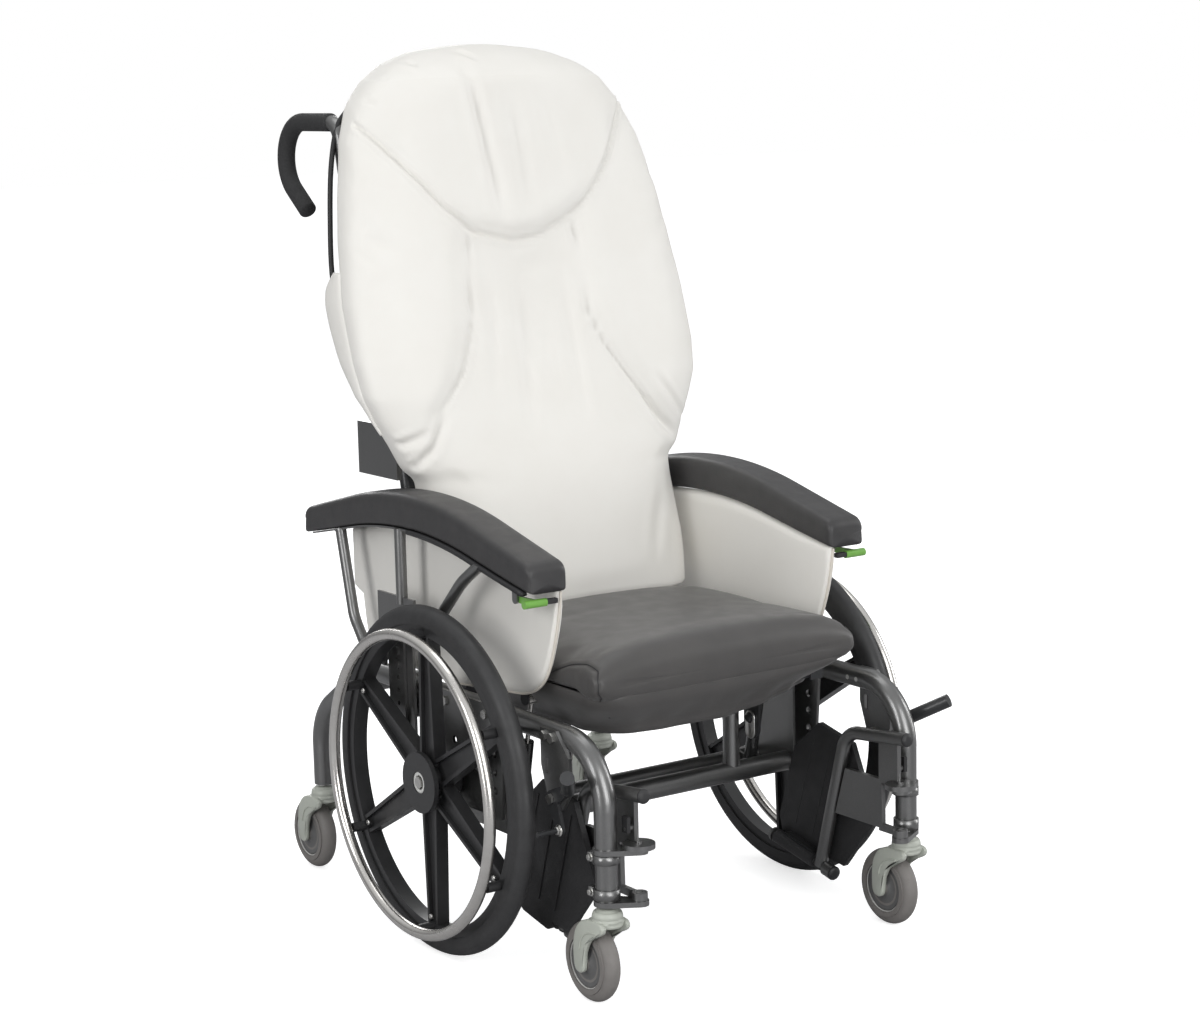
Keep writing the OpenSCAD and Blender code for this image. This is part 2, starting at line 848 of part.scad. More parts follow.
// Plates bolted under the rails that carry the wheel locks
module wheel_lock_brackets() {
    mid_z = (rail_z + lock_pivot_z) / 2;
    placed() color("#3c3e40")
    both_sides()
    side_sheet(lock_plate_x, lock_plate_t)
    difference() {
        polygon([
            [-lock_pivot_y - lock_plate_front, rail_z - 2 * lock_plate_up],
            [-lock_pivot_y - lock_plate_up / 2, rail_z + lock_plate_up],
            [-lock_pivot_y + lock_plate_rear, rail_z + lock_plate_up],
            [-lock_pivot_y + lock_plate_rear, mid_z],
            [-lock_pivot_y + lock_plate_neck[0], lock_pivot_z - lock_plate_low],
            [-lock_pivot_y - lock_plate_neck[1], lock_pivot_z - lock_plate_low],
            [-lock_pivot_y - lock_plate_front, lock_pivot_z + lock_plate_up]
        ]);
        translate([-lock_pivot_y, lock_pivot_z]) circle(d = lock_bolt_d + 2 * fit);
        for (y = lock_bracket_bolts_y) {
            translate([y, rail_z]) circle(d = bolt_d + 2 * fit);
        }
        translate([-lock_pivot_y + lock_slot_y, mid_z]) square(lock_slot_size, center = true);
    }
}

// Bolts of the base: through the axle plates, the lock brackets and the lock levers
module frame_bolts() {
    lever_out_x = lock_lever_x + lock_lever_t + lock_gap;
    placed() color("silver")
    both_sides() {
        for (y = axle_plate_bolts_y) {
            cross_rod(rail_inner_x, rail_outer_x + plate_t, y, rail_z, bolt_d);
            hex_head(rail_outer_x + plate_t, y, rail_z, bolt_head_d, bolt_head_h);
        }
        for (y = lock_bracket_bolts_y) {
            cross_rod(rail_inner_x, lock_plate_x + lock_plate_t, y, rail_z, bolt_d);
            hex_head(lock_plate_x + lock_plate_t, y, rail_z, bolt_head_d, bolt_head_h);
        }
        cross_rod(lock_plate_x - cut, lever_out_x + cut, -lock_pivot_y, lock_pivot_z, lock_bolt_d);
        hex_head(lock_plate_x - bolt_head_h, -lock_pivot_y, lock_pivot_z, bolt_head_d, bolt_head_h);
        hex_head(lever_out_x, -lock_pivot_y, lock_pivot_z, bolt_head_d, bolt_head_h);
    }
}

// Seat frame: rails, cross bars, carriers down to the torque tube, link plates and strut studs
module seat_frame() {
    rail_low_z = seat_rail_z - seat_rail_w / 2;
    stud_end = strut_x + strut_eye_d / 2;
    rail_out_x = seat_rail_x + seat_rail_w / 2;
    stud_tip = stud_end + stud_head_gap + stud_head_t;
    rear_cross_y = seat_rail_rear_y - seat_cross_d / 2;
    cross_places = [-seat_rail_front_y + seat_cross_d / 2, -strut_head_y, rear_cross_y];
    placed() color("#2f3133")
    difference() {
        union() {
            both_sides() {
                translate([seat_rail_x - seat_rail_w / 2, -seat_rail_front_y, rail_low_z])
                cube([seat_rail_w, seat_rail_front_y + seat_rail_rear_y, seat_rail_w]);
                side_sheet(seat_rail_x - seat_rail_w / 2, seat_rail_w)
                link(
                    [tilt_y, tilt_z], [tilt_y, seat_rail_z],
                    torque_tube_d / 2 + bearing_wall, seat_rail_w / 2
                );
                side_sheet(seat_rail_x - plate_t / 2, plate_t)
                link(
                    [-seat_link_y, seat_link_low_z], [-seat_link_y, rail_low_z],
                    seat_link_low_r, seat_link_high_r
                );
                cross_rod(rail_out_x, stud_tip, -strut_head_y, strut_head_z, strut_pin_d);
                cross_rod(stud_end + stud_head_gap, stud_tip, -strut_head_y, strut_head_z, strut_eye_d);
            }
            for (y = cross_places) {
                cross_rod(-seat_rail_x, seat_rail_x, y, seat_rail_z, seat_cross_d);
            }
            cross_rod(-upright_x, upright_x, rear_cross_y, seat_rail_z, seat_cross_d);
        }
        cross_rod(-rail_out_x - cut, rail_out_x + cut, tilt_y, tilt_z, torque_tube_d);
        both_sides() upright();
    }
}

// Tilt shaft that runs under the rails from one seat side plate to the other
module torque_tube() {
    placed() color("silver")
    cross_rod(-side_plate_x, side_plate_x, tilt_y, tilt_z, torque_tube_d);
}

// Perforated plate on the end of the torque tube that carries the arm
module seat_side_plate() {
    slot_low_z = arm_pin_low_z - arm_travel;
    slot_high_z = arm_pin_low_z + arm_hole_pitch;
    slot_r = arm_pin_d / 2 + arm_slack;
    color("#3c3e40")
    side_sheet(side_plate_x, plate_t)
    difference() {
        polygon([
            [tilt_y - side_plate_half, side_plate_low_z + side_plate_corner],
            [tilt_y - side_plate_half / 2, side_plate_low_z],
            [tilt_y + side_plate_half / 2, side_plate_low_z],
            [tilt_y + side_plate_half, side_plate_low_z + side_plate_corner],
            [tilt_y + side_plate_half, side_plate_high_z],
            [tilt_y - side_plate_half, side_plate_high_z]
        ]);
        link([tilt_y, slot_low_z], [tilt_y, slot_high_z], slot_r, slot_r);
    }
}
module seat_side_plate_left() { placed() seat_side_plate(); }
module seat_side_plate_right() { right_side() seat_side_plate(); }

// Flat pan that the seat cushion rests on
module seat_pan() {
    pan_half = seat_half - skirt_in - skirt_t - seat_gap;
    pan_front_y = seat_front_y - skirt_front_in - skirt_wave - skirt_t - seat_gap;
    pan_low_z = seat_rail_z + seat_rail_w / 2;
    placed() color("#1d1d1e")
    translate([-pan_half, -pan_front_y, pan_low_z])
    cube([2 * pan_half, pan_front_y + seat_rear_y, seat_bottom_z - seat_gap - pan_low_z]);
}

// One cross section of the seat cushion, at a distance behind the axle
function seat_ring(y) =
    let (
        front = min(1, (y + seat_front_y) / seat_nose),
        rise = sqrt(max(0, 1 - (1 - front) * (1 - front))),
        nose = seat_nose_share + (1 - seat_nose_share) * rise,
        middle_z = seat_bottom_z + seat_seam_up,
        half = seat_half - seat_side_r * (1 - rise),
        up = (seat_top_z - seat_crown - middle_z) * nose,
        down = seat_seam_up * nose,
        dip = 1 - pow(abs(y + seat_front_y / 2) / seat_front_y, 2)
    )
    [for (step = [0 : seat_ring_steps - 1]) let (
        angle = 360 * step / seat_ring_steps,
        across = sign(cos(angle)) * pow(abs(cos(angle)), seat_side_power),
        height = sign(sin(angle)) * pow(abs(sin(angle)), seat_face_power),
        crown = height > 0 ? seat_crown * cos(90 * across) * dip * rise : 0
    ) [half * across, y, middle_z + height * (height > 0 ? up : down) + crown]];

// Seat cushion with a waterfall front and a crowned top
module seat_cushion() {
    length = seat_front_y + seat_rear_y;
    rings = [for (row = [0 : seat_rows]) let (share = row / seat_rows)
        seat_ring(-seat_front_y + length * share * (seat_row_crowd + (1 - seat_row_crowd) * share))];
    placed() color("#4a4848") loft(rings);
}

// Pleated skirt hanging from the front and both sides of the seat
module seat_skirt() {
    half = seat_half - skirt_in;
    front = -seat_front_y + skirt_front_in;
    steps = skirt_pleats * pleat_steps;
    wave = [for (step = [0 : steps]) let (share = step / steps)
        [half - 2 * half * share, front + skirt_wave * (1 - cos(360 * skirt_pleats * share)) / 2]];
    outer = concat([[half, skirt_rear_y]], wave, [[-half, skirt_rear_y]]);
    inner_half = half - skirt_t;
    inner_wave = [for (step = [steps : -1 : 0]) let (share = step / steps)
        [inner_half - 2 * inner_half * share,
            front + skirt_t + skirt_wave * (1 - cos(360 * skirt_pleats * share)) / 2]];
    inner = concat([[-inner_half, skirt_rear_y]], inner_wave, [[inner_half, skirt_rear_y]]);
    placed() color("#454343")
    translate([0, 0, seat_bottom_z - skirt_drop])
    linear_extrude(skirt_drop - seat_gap)
    polygon(concat(outer, inner));
}

// Distance behind the axle of the line that the back's tubes follow, by height
function back_line_y(z) =
    back_foot_y + (back_head_y - back_foot_y) * (z - back_foot_z) / (handle_z - back_foot_z);

// One upright of the back frame
module upright() {
    rod(
        [upright_x, back_line_y(back_foot_z), back_foot_z],
        [upright_x, back_line_y(upright_top_z), upright_top_z],
        back_tube_d
    );
}

// Back frame: two uprights with cross bars behind the shell
module back_frame() {
    placed() color("#2f3133") {
        both_sides() upright();
        for (z = back_bar_heights) {
            cross_rod(-upright_x, upright_x, back_line_y(z), z, back_bar_d);
        }
    }
}

// Path of a back tube: beside the upright, then round through the push handle
function back_tube_path() =
    let (
        reach = handle_bend_r * tan(handle_turn / 2),
        foot = [back_tube_x, back_line_y(back_tube_foot_z), back_tube_foot_z],
        top = [back_tube_x, back_head_y, handle_z],
        knee = [back_tube_x, handle_bend_y + reach, handle_z],
        end = knee + (reach + grip_tail) * [0, cos(handle_turn), -sin(handle_turn)]
    ) [foot, top, knee, end];

// Back tube with its push handle and the two stubs that join it to the upright
module back_tube() {
    color("#3c3e40")
    difference() {
        union() {
            bent_tube(back_tube_path(), [back_top_bend_r, handle_bend_r], back_tube_d);
            for (z = back_stub_heights) {
                cross_rod(upright_x, back_tube_x, back_line_y(z), z, back_stub_d);
            }
        }
        upright();
    }
}
module back_tube_left() { placed() back_tube(); }
module back_tube_right() { right_side() back_tube(); }

// Foam grip round the push handle
module push_grip() {
    path = back_tube_path();
    start = path[1] + [0, grip_start, 0];
    tail = path[3] + unit(path[3] - path[2]) * grip_end_t;
    color("#2a2a2b")
    difference() {
        bent_tube([start, path[2], tail], [handle_bend_r], grip_d);
        bent_tube([start - [0, cut, 0], path[2], path[3]], [handle_bend_r], back_tube_d);
    }
}
module push_grip_left() { placed() push_grip(); }
module push_grip_right() { right_side() push_grip(); }

// Half width of the back cover as a share of its largest, by share of its height
back_width_shares = [
    [0, 0.69], [0.06, 0.735], [0.24, 0.742], [0.27, 0.82], [0.306, 0.872], [0.35, 0.93],
    [0.39, 0.983], [0.451, 1], [0.547, 0.994], [0.656, 0.96], [0.729, 0.925], [0.831, 0.859],
    [0.893, 0.79], [0.93, 0.69], [0.962, 0.56], [0.985, 0.38], [1, 0.2]
];

// Distance that the cover's side edge lies behind its front plane, as shares of the thickness
back_edge_shares = [
    [0, 0.9], [0.22, 1.02], [0.3, 1.05], [0.36, 0.95], [0.45, 0.86], [0.55, 1.0],
    [0.65, 1.04], [0.72, 1.04], [0.9, 1.06], [1, 1.0]
];

function back_height() = back_top_z - back_bottom_z;
function back_plane_y(z) = back_low_y + back_lean_share * (z - back_bottom_z);
// Half width of the cover: as the seat's where it is narrower, with wings that reach past it
function back_half_w(z) =
    let (share = table_value(back_width_shares, (z - back_bottom_z) / back_height()))
    share < back_seat_share
        ? seat_half * share / back_seat_share
        : seat_half + back_over * (share - back_seat_share) / (1 - back_seat_share);
function back_edge_y(z) =
    back_plane_y(z) + back_t * table_value(back_edge_shares, (z - back_bottom_z) / back_height());

// Half width between the wing seams as a share of the cover's, by share of its height
wing_seam_shares = [
    [0, 0.553], [0.1, 0.495], [0.2, 0.44], [0.3, 0.39], [0.4, 0.347], [0.5, 0.311],
    [0.6, 0.3], [0.7, 0.324], [0.8, 0.364], [0.9, 0.409], [1, 0.457]
];

function wing_seam_x(z) =
    back_w / 2 * table_value(wing_seam_shares, (z - back_bottom_z) / back_height());

// Height of the seam under the head pillow at a distance from the middle
function pillow_seam_z(x) =
    back_bottom_z + back_height() * (pillow_low_share + pillow_curl * pow(x / back_w, 2));

// How far the cover's front stands ahead of its plane
function back_relief(x, z) =
    let (
        wing = ease(wing_edge_low, wing_edge_high, (abs(x) - wing_seam_x(z)) / back_w),
        pillow = ease(0, pillow_edge, z - pillow_seam_z(x)),
        fade = ease(back_bottom_z + back_fade_low, back_bottom_z + back_fade_high, z)
    )
    fade * (wing_rise * wing * (1 - pillow) + pillow_rise * pillow);

// One level of the back cover: its front from side to side, then its flat rear
function back_ring(z, squeeze) =
    let (
        half = back_half_w(z),
        edge = back_edge_y(z),
        depth = (edge - back_plane_y(z)) * squeeze
    )
    concat(
        [for (step = [0 : back_front_steps]) let (
            angle = 180 * step / back_front_steps,
            across = sign(cos(angle)) * pow(abs(cos(angle)), back_side_power),
            x = half * across
        ) [x, edge - (depth + back_relief(x, z) * squeeze) * pow(sin(angle), back_face_power), z]],
        [for (share = back_rear_shares) [half * share, edge + back_rear_t, z]]
    );

// Height of a row of the back cover
function back_row_z(row) = back_bottom_z + back_height() * row / back_rows;

// Back cover cushion with side wings and a head pillow
module back_cover() {
    rings = [for (row = [0 : back_rows]) let (
        bulge = sqrt(max(0, sin(180 * row / back_rows)))
    ) back_ring(back_row_z(row), min(1, back_end_squeeze + (back_full_squeeze - back_end_squeeze) * bulge))];
    placed() color("#efece4") loft(rings);
}

// Thin moulded shell behind the back cover, bowed backward
module back_shell() {
    limit = upright_x - back_tube_d / 2 - shell_t;
    placed() color("#1c1c1d")
    loft([for (row = [shell_first_row : shell_last_row]) let (
        z = back_row_z(row),
        half = min(back_half_w(z) * shell_w_share, limit),
        near_y = back_edge_y(z) + back_rear_t + shell_gap,
        places = [for (step = [0 : shell_steps]) 1 - 2 * step / shell_steps]
    ) concat(
        [for (across = places) [half * across, near_y, z]],
        [for (across = places) [-half * across, near_y + shell_t + shell_bow * (1 - across * across), z]]
    )]);
}

// Block that clamps the upright of the back, with a knob behind
module back_clamp() {
    mid_z = (clamp_low_z + clamp_high_z) / 2;
    front_y = back_line_y(mid_z) - back_tube_d / 2;
    outer_x = upright_x + back_tube_d / 2 + clamp_wall;
    color("#3c3e40")
    difference() {
        union() {
            translate([outer_x - clamp_w, front_y, clamp_low_z])
            cube([clamp_w, clamp_d, clamp_high_z - clamp_low_z]);
            translate([outer_x - clamp_w / 2, front_y + clamp_d, mid_z])
            rotate([-90, 0, 0])
            cylinder(d = clamp_knob_d, h = clamp_knob_h);
        }
        upright();
    }
}
module back_clamp_left() { placed() back_clamp(); }
module back_clamp_right() { right_side() back_clamp(); }

// Height of the arm pad's top at a distance behind the axle
function pad_top_z(y) =
    let (
        reach = abs(y - arm_pad_y),
        bend_reach = arm_pad_r * sin(arm_pad_bend),
        drop = reach < bend_reach
            ? arm_pad_r - sqrt(arm_pad_r * arm_pad_r - reach * reach)
            : arm_pad_r * (1 - cos(arm_pad_bend)) + (reach - bend_reach) * tan(arm_pad_bend)
    ) arm_pad_z - drop;

function pad_bottom_z(y) =
    pad_top_z(y) - arm_pad_t - arm_pad_belly * (1 - pow((y - arm_pad_y) / (arm_pad_l / 2), 2));

// Places along the pad, from its front to its rear
function pad_places() =
    [for (step = [0 : arm_pad_steps]) -arm_pad_front_y + arm_pad_l * step / arm_pad_steps];

// Points of a line below the pad's underside, between two of its places
function pad_line(first, last, drop) =
    let (places = pad_places())
    [for (i = [first : last]) [places[i], pad_bottom_z(places[i]) - drop]];

// The same points the other way round
function backward(points) = [for (i = [len(points) - 1 : -1 : 0]) points[i]];

// Arm pad, bent down at both ends
module arm_pad() {
    top = [for (y = pad_places()) [y, pad_top_z(y)]];
    color("#39393a")
    side_sheet(arm_x - arm_pad_in - arm_pad_w / 2, arm_pad_w)
    polygon(concat(top, backward(pad_line(0, arm_pad_steps, -seat_gap))));
}
module arm_pad_left() { placed() arm_pad(); }
module arm_pad_right() { right_side() arm_pad(); }

// Stem of the arm with its holes, its head plate and the two guide pins
module arm_stem() {
    side_sheet(arm_stem_x, plate_t)
    difference() {
        union() {
            translate([tilt_y - arm_stem_half, arm_stem_low_z])
            square([2 * arm_stem_half, arm_head_high_z - arm_stem_low_z]);
            translate([arm_head_front_y, arm_head_low_z])
            square([arm_head_rear_y - arm_head_front_y, arm_head_high_z - arm_head_low_z]);
            translate([arm_tail_y, arm_tail_low_z])
            square([arm_head_rear_y - arm_tail_y, arm_head_high_z - arm_tail_low_z]);
        }
        for (row = [0 : arm_hole_rows - 1]) {
            translate([tilt_y, arm_pin_low_z - row * arm_hole_pitch]) circle(d = bolt_d);
        }
    }
    for (row = [0, 1]) {
        z = arm_pin_low_z + row * arm_hole_pitch;
        head_x = side_plate_x - arm_stem_gap;
        cross_rod(head_x, arm_stem_x + plate_t, tilt_y, z, arm_pin_d);
        cross_rod(head_x - arm_pin_head_t, head_x, tilt_y, z, arm_pin_head_d);
        cross_rod(arm_stem_x + plate_t, arm_stem_x + plate_t + arm_pin_head_t, tilt_y, z, arm_pin_head_d);
    }
}

// The three tubes between the stem's head plate and the pad
module arm_tubes() {
    root_z = arm_head_low_z + arm_root_up;
    bent_tube([
        [arm_x, arm_front_top_y, pad_bottom_z(arm_front_top_y) + arm_tube_up],
        [arm_x, arm_front_knee[0], arm_front_knee[1]],
        [arm_x, arm_front_heel_y, root_z],
        [arm_x, arm_head_front_y + arm_root_in, root_z]
    ], [arm_front_bend_r, arm_front_heel_r], arm_tube_d);
    rod(
        [arm_x, arm_mid_y, arm_head_high_z - arm_mid_in],
        [arm_x, arm_mid_y, pad_bottom_z(arm_mid_y)],
        arm_tube_d
    );
    bent_tube([
        [arm_x, arm_rear_top_y, pad_bottom_z(arm_rear_top_y) + arm_tube_up],
        [arm_x, arm_rear_knee[0], arm_rear_knee[1]],
        [arm_x, arm_rear_heel[0], arm_rear_heel[1]],
        [arm_x, arm_head_rear_y - arm_root_in, arm_tail_root_z]
    ], [arm_rear_bend_r, arm_rear_heel_r], arm_tube_d);
}

// Lug under the rail with the pin that the release lever turns on
module arm_lever_lug() {
    lever_x = arm_x - arm_lever_in;
    lug_x = lever_x + arm_lever_t + arm_lever_gap;
    lug_top_z = pad_bottom_z(arm_lug_top_y) - arm_rail_t / 2;
    side_sheet(lug_x, arm_lug_t)
    union() {
        translate(arm_lever_hinge) circle(r = arm_lug_r);
        translate([arm_lever_hinge[0] - arm_lug_r, arm_lever_hinge[1]])
        square([2 * arm_lug_r, lug_top_z - arm_lever_hinge[1] - arm_lug_r / 2]);
    }
    cross_rod(
        lever_x - arm_lever_gap, lug_x + arm_lug_t,
        arm_lever_hinge[0], arm_lever_hinge[1], arm_lever_pin_d
    );
}

// Arm frame: stem in the seat side plate, three tubes and the rail under the pad
module arm_frame() {
    rail_x = arm_x - arm_pad_in - arm_rail_w / 2 + arm_rail_out;
    rail_first = 1;
    rail_last = arm_pad_steps - 1;
    color("#3c3e40") {
        arm_stem();
        difference() {
            arm_tubes();
            side_sheet(arm_x - arm_tube_d, 2 * arm_tube_d)
            polygon(concat(
                pad_line(0, arm_pad_steps, cut / 2),
                [[arm_rear_top_y, arm_pad_z], [arm_front_top_y, arm_pad_z]]
            ));
        }
        side_sheet(rail_x, arm_rail_w)
        polygon(concat(
            pad_line(rail_first, rail_last, 0),
            backward(pad_line(rail_first, rail_last, arm_rail_t))
        ));
        arm_lever_lug();
    }
}
module arm_frame_left() { placed() arm_frame(); }
module arm_frame_right() { right_side() arm_frame(); }

// Cream side panel that hangs from the arm inside the rail
module side_panel() {
    color("#efece4")
    side_sheet(rail_inner_x - panel_gap - side_panel_t, side_panel_t)
    polygon(concat(pad_line(0, panel_last, 0), panel_edge));
}
module side_panel_left() { placed() side_panel(); }
module side_panel_right() { right_side() side_panel(); }

// Sprung release lever under the front of the arm pad
module arm_lever() {
    knob = [arm_knob_y, arm_lever_hinge[1]];
    color("#2fae4a") {
        cross_rod(arm_x - arm_knob_in, arm_x + arm_knob_out, knob[0], knob[1], arm_knob_d);
        side_sheet(arm_x - arm_lever_in, arm_lever_t)
        difference() {
            link(knob, arm_lever_hinge, arm_lever_tip_r, arm_lever_root_r);
            translate(arm_lever_hinge) circle(d = arm_lever_pin_d + 2 * fit);
        }
    }
}
module arm_lever_left() { placed() arm_lever(); }
module arm_lever_right() { right_side() arm_lever(); }

// Moves a strut piece, drawn upright from its foot pivot, to where the strut stands
module strut_placed() {
    placed()
    translate([strut_x, -strut_foot_y, strut_foot_z])
    rotate([strut_lean, 0, 0])
    children();
}

// Cylinder of the gas strut with its foot eye
module strut_cylinder() {
    color("#202021")
    difference() {
        union() {
            translate([0, 0, strut_eye_d / 2]) cylinder(d = strut_d, h = strut_body_l - strut_eye_d / 2);
            rotate([0, 90, 0]) cylinder(d = strut_eye_d, h = strut_eye_d, center = true);
        }
        rotate([0, 90, 0]) cylinder(d = strut_pin_d + 2 * fit, h = strut_eye_d + 2 * cut, center = true);
        translate([0, 0, strut_eye_d]) cylinder(d = strut_rod_d + 2 * fit, h = strut_body_l);
    }
}
module strut_cylinder_left() { strut_placed() strut_cylinder(); }
module strut_cylinder_right() { mirror([1, 0, 0]) strut_placed() strut_cylinder(); }

// Rod of the gas strut with its head eye
module strut_rod() {
    color("silver")
    difference() {
        union() {
            translate([0, 0, strut_rod_foot]) cylinder(d = strut_rod_d, h = strut_l - strut_rod_foot);
            translate([0, 0, strut_l])
            rotate([0, 90, 0])
            cylinder(d = strut_eye_d, h = strut_eye_d - strut_eye_gap, center = true);
        }
        translate([0, 0, strut_l])
        rotate([0, 90, 0])
        cylinder(d = strut_pin_d + 2 * strut_eye_slack, h = strut_eye_d + 2 * cut, center = true);
    }
}
module strut_rod_left() { strut_placed() strut_rod(); }
module strut_rod_right() { mirror([1, 0, 0]) strut_placed() strut_rod(); }

// Turns a wheel drawn round Z, with its outer side up, onto the drive wheel's axle
module drive_placed() {
    placed()
    translate([drive_wheel_x, 0, axle_z])
    rotate([0, 90, 0])
    children();
}

// One double ribbed spoke along +X
module spoke() {
    root = hub_d / 2 - spoke_overlap;
    tip = rim_inner_r + spoke_overlap;
    translate([0, 0, -spoke_web_t / 2])
    linear_extrude(spoke_web_t)
    polygon([
        [root, -spoke_root_w / 2], [tip, -spoke_tip_w / 2], [tip, spoke_tip_w / 2], [root, spoke_root_w / 2]
    ]);
    for (side = [-1, 1]) {
        translate([0, 0, -spoke_rib_h / 2])
        linear_extrude(spoke_rib_h)
        polygon([
            [root, side * spoke_root_w / 2], [tip, side * spoke_tip_w / 2],
            [tip, side * (spoke_tip_w / 2 - spoke_rib_t)], [root, side * (spoke_root_w / 2 - spoke_rib_t)]
        ]);
    }
}

// Plastic drive wheel with ribbed spokes, hub, cap and the hand rim's standoffs
module drive_wheel() {
    standoff_top = hand_rim_out - hand_rim_tube_d / 2 - seat_gap;
    color("#232425")
    difference() {
        union() {
            rotate_extrude($fn = 96)
            translate([rim_inner_r, -rim_w / 2])
            square([rim_h - seat_gap, rim_w]);
            for (i = [0 : spoke_count - 1]) {
                rotate([0, 0, 360 / spoke_count * i]) {
                    spoke();
                    translate([hand_rim_r, 0, 0]) cylinder(d = standoff_w, h = standoff_top);
                }
            }
            translate([0, 0, -hub_barrel_in]) cylinder(d = hub_d, h = hub_barrel_in + hub_cap_out - cut);
            translate([0, 0, hub_cap_out - hub_cap_t]) cylinder(d = hub_cap_d, h = hub_cap_t);
        }
        translate([0, 0, -hub_barrel_in - cut])
        cylinder(d = axle_d + 2 * fit, h = hub_barrel_in + hub_cap_out + 2 * cut);
        translate([0, 0, hub_cap_out - cap_well_h]) cylinder(d = cap_well_d, h = cap_well_h + cut);
    }
}
module drive_wheel_left() { drive_placed() drive_wheel(); }
module drive_wheel_right() { mirror([1, 0, 0]) drive_placed() drive_wheel(); }

// Solid tyre with a round tread
module drive_tyre() {
    tread_r = tyre_w / 2;
    color("#5d5f61")
    rotate_extrude($fn = 96)
    difference() {
        union() {
            translate([wheel_r - tread_r, 0]) circle(r = tread_r);
            translate([rim_r, -tread_r]) square([tyre_h - tread_r, tyre_w]);
        }
        translate([rim_r - tyre_w, -tyre_w]) square([tyre_w, 2 * tyre_w]);
    }
}
module drive_tyre_left() { drive_placed() drive_tyre(); }
module drive_tyre_right() { mirror([1, 0, 0]) drive_placed() drive_tyre(); }

// Steel hand rim outside the wheel
module hand_rim() {
    color("silver")
    translate([0, 0, hand_rim_out])
    rotate_extrude($fn = 96)
    translate([hand_rim_r, 0])
    circle(d = hand_rim_tube_d);
}
module hand_rim_left() { drive_placed() hand_rim(); }
module hand_rim_right() { mirror([1, 0, 0]) drive_placed() hand_rim(); }

// Moves a caster piece, drawn round its stem, to one of the four legs
module caster_placed(place) {
    placed() translate([caster_places[place][0] * frame_x, caster_places[place][1], 0]) children();
}

// Caster fork with its bearing disc, stem and axle
module caster_fork() {
    half_w = fork_in + fork_arm_t;
    color("#8d938e") {
        for (x = [fork_in, -half_w]) {
            side_sheet(x, fork_arm_t)
            link(
                [fork_shoulder_y, fork_top_z - fork_shoulder_drop], [caster_trail, caster_r],
                fork_shoulder_r, fork_foot_r
            );
        }
        translate([-half_w, -fork_crown_front, fork_top_z - fork_cap_lap - fork_crown_h])
        cube([2 * half_w, fork_crown_l, fork_crown_h]);
        translate([0, 0, fork_top_z - fork_cap_h]) cylinder(d = fork_cap_d, h = fork_cap_h);
        translate([0, 0, fork_top_z - cut]) cylinder(d = stem_washer_d, h = stem_washer_h + cut - seat_gap);
        translate([0, 0, fork_top_z - cut]) cylinder(d = stem_d, h = stem_washer_h + stem_h + cut - seat_gap);
        cross_rod(-half_w - fork_pin_out, half_w + fork_pin_out, caster_trail, caster_r, caster_axle_d);
        both_sides() hex_head(half_w, caster_trail, caster_r, bolt_head_d, bolt_head_h);
    }
}
module caster_fork_front_left() { caster_placed(0) caster_fork(); }
module caster_fork_front_right() { caster_placed(1) caster_fork(); }
module caster_fork_rear_left() { caster_placed(2) caster_fork(); }
module caster_fork_rear_right() { caster_placed(3) caster_fork(); }

// Caster wheel: hub with a bearing bore, and a tyre round it
module caster_wheel() {
    bore_r = caster_hub_r + seat_gap;
    hub_w = 2 * (fork_in - caster_boss_gap);
    translate([0, caster_trail, caster_r])
    rotate([0, 90, 0]) {
        color("#77797b")
        rotate_extrude($fn = 64)
        difference() {
            union() {
                translate([bore_r, -caster_w / 2]) square([caster_tyre_h - caster_tread_r, caster_w]);
                translate([caster_r - caster_tread_r, 0]) circle(r = caster_tread_r);
            }
            translate([0, -caster_w]) square([bore_r, 2 * caster_w]);
        }
        color("#5a5d60")
        difference() {
            union() {
                cylinder(r = caster_hub_r, h = caster_w - 2 * caster_hub_in, center = true);
                cylinder(d = caster_boss_d, h = hub_w, center = true);
            }
            cylinder(d = caster_axle_d + 2 * fit, h = hub_w + 2 * cut, center = true);
        }
    }
}
module caster_wheel_front_left() { caster_placed(0) caster_wheel(); }
module caster_wheel_front_right() { caster_placed(1) caster_wheel(); }
module caster_wheel_rear_left() { caster_placed(2) caster_wheel(); }
module caster_wheel_rear_right() { caster_placed(3) caster_wheel(); }

// Wheel lock: pivoted lever with its shoe rod and black grip
module wheel_lock() {
    way = unit(lock_grip_way);
    grip_root = lock_grip_tip - way * lock_grip_l;
    lever_out_x = lock_lever_x + lock_lever_t;
    pivot = [-lock_pivot_y, lock_pivot_z];
    shoe = [-lock_shoe_y, lock_shoe_z];
    color("#2c2d2e") {
        side_sheet(lock_lever_x, lock_lever_t)
        difference() {
            union() {
                link(pivot, shoe, lock_lever_r, lock_tip_r);
                link(pivot, lock_neck_root, lock_lever_r, lock_tip_r);
            }
            translate(pivot) circle(d = lock_bolt_d + 2 * fit);
        }
        rod(
            [lock_lever_x + lock_neck_d / 2 + lock_gap, lock_neck_root[0], lock_neck_root[1]],
            grip_root + way * lock_neck_lap, lock_neck_d
        );
        rod(grip_root, lock_grip_tip, lock_grip_d);
    }
    color("silver")
    cross_rod(lever_out_x - cut, lever_out_x + lock_shoe_l, -lock_shoe_y, lock_shoe_z, lock_rod_d);
}
module wheel_lock_left() { placed() wheel_lock(); }
module wheel_lock_right() { right_side() wheel_lock(); }

// Point on the footplate's pivot line, as a share of the way from its front to its rear end
function flip_point(share) =
    let (tube_x = hanger_x + hanger_tube_out)
    [tube_x, flip_front[0], flip_front[1]]
        + share * [0, flip_rear[0] - flip_front[0], flip_rear[1] - flip_front[1]];

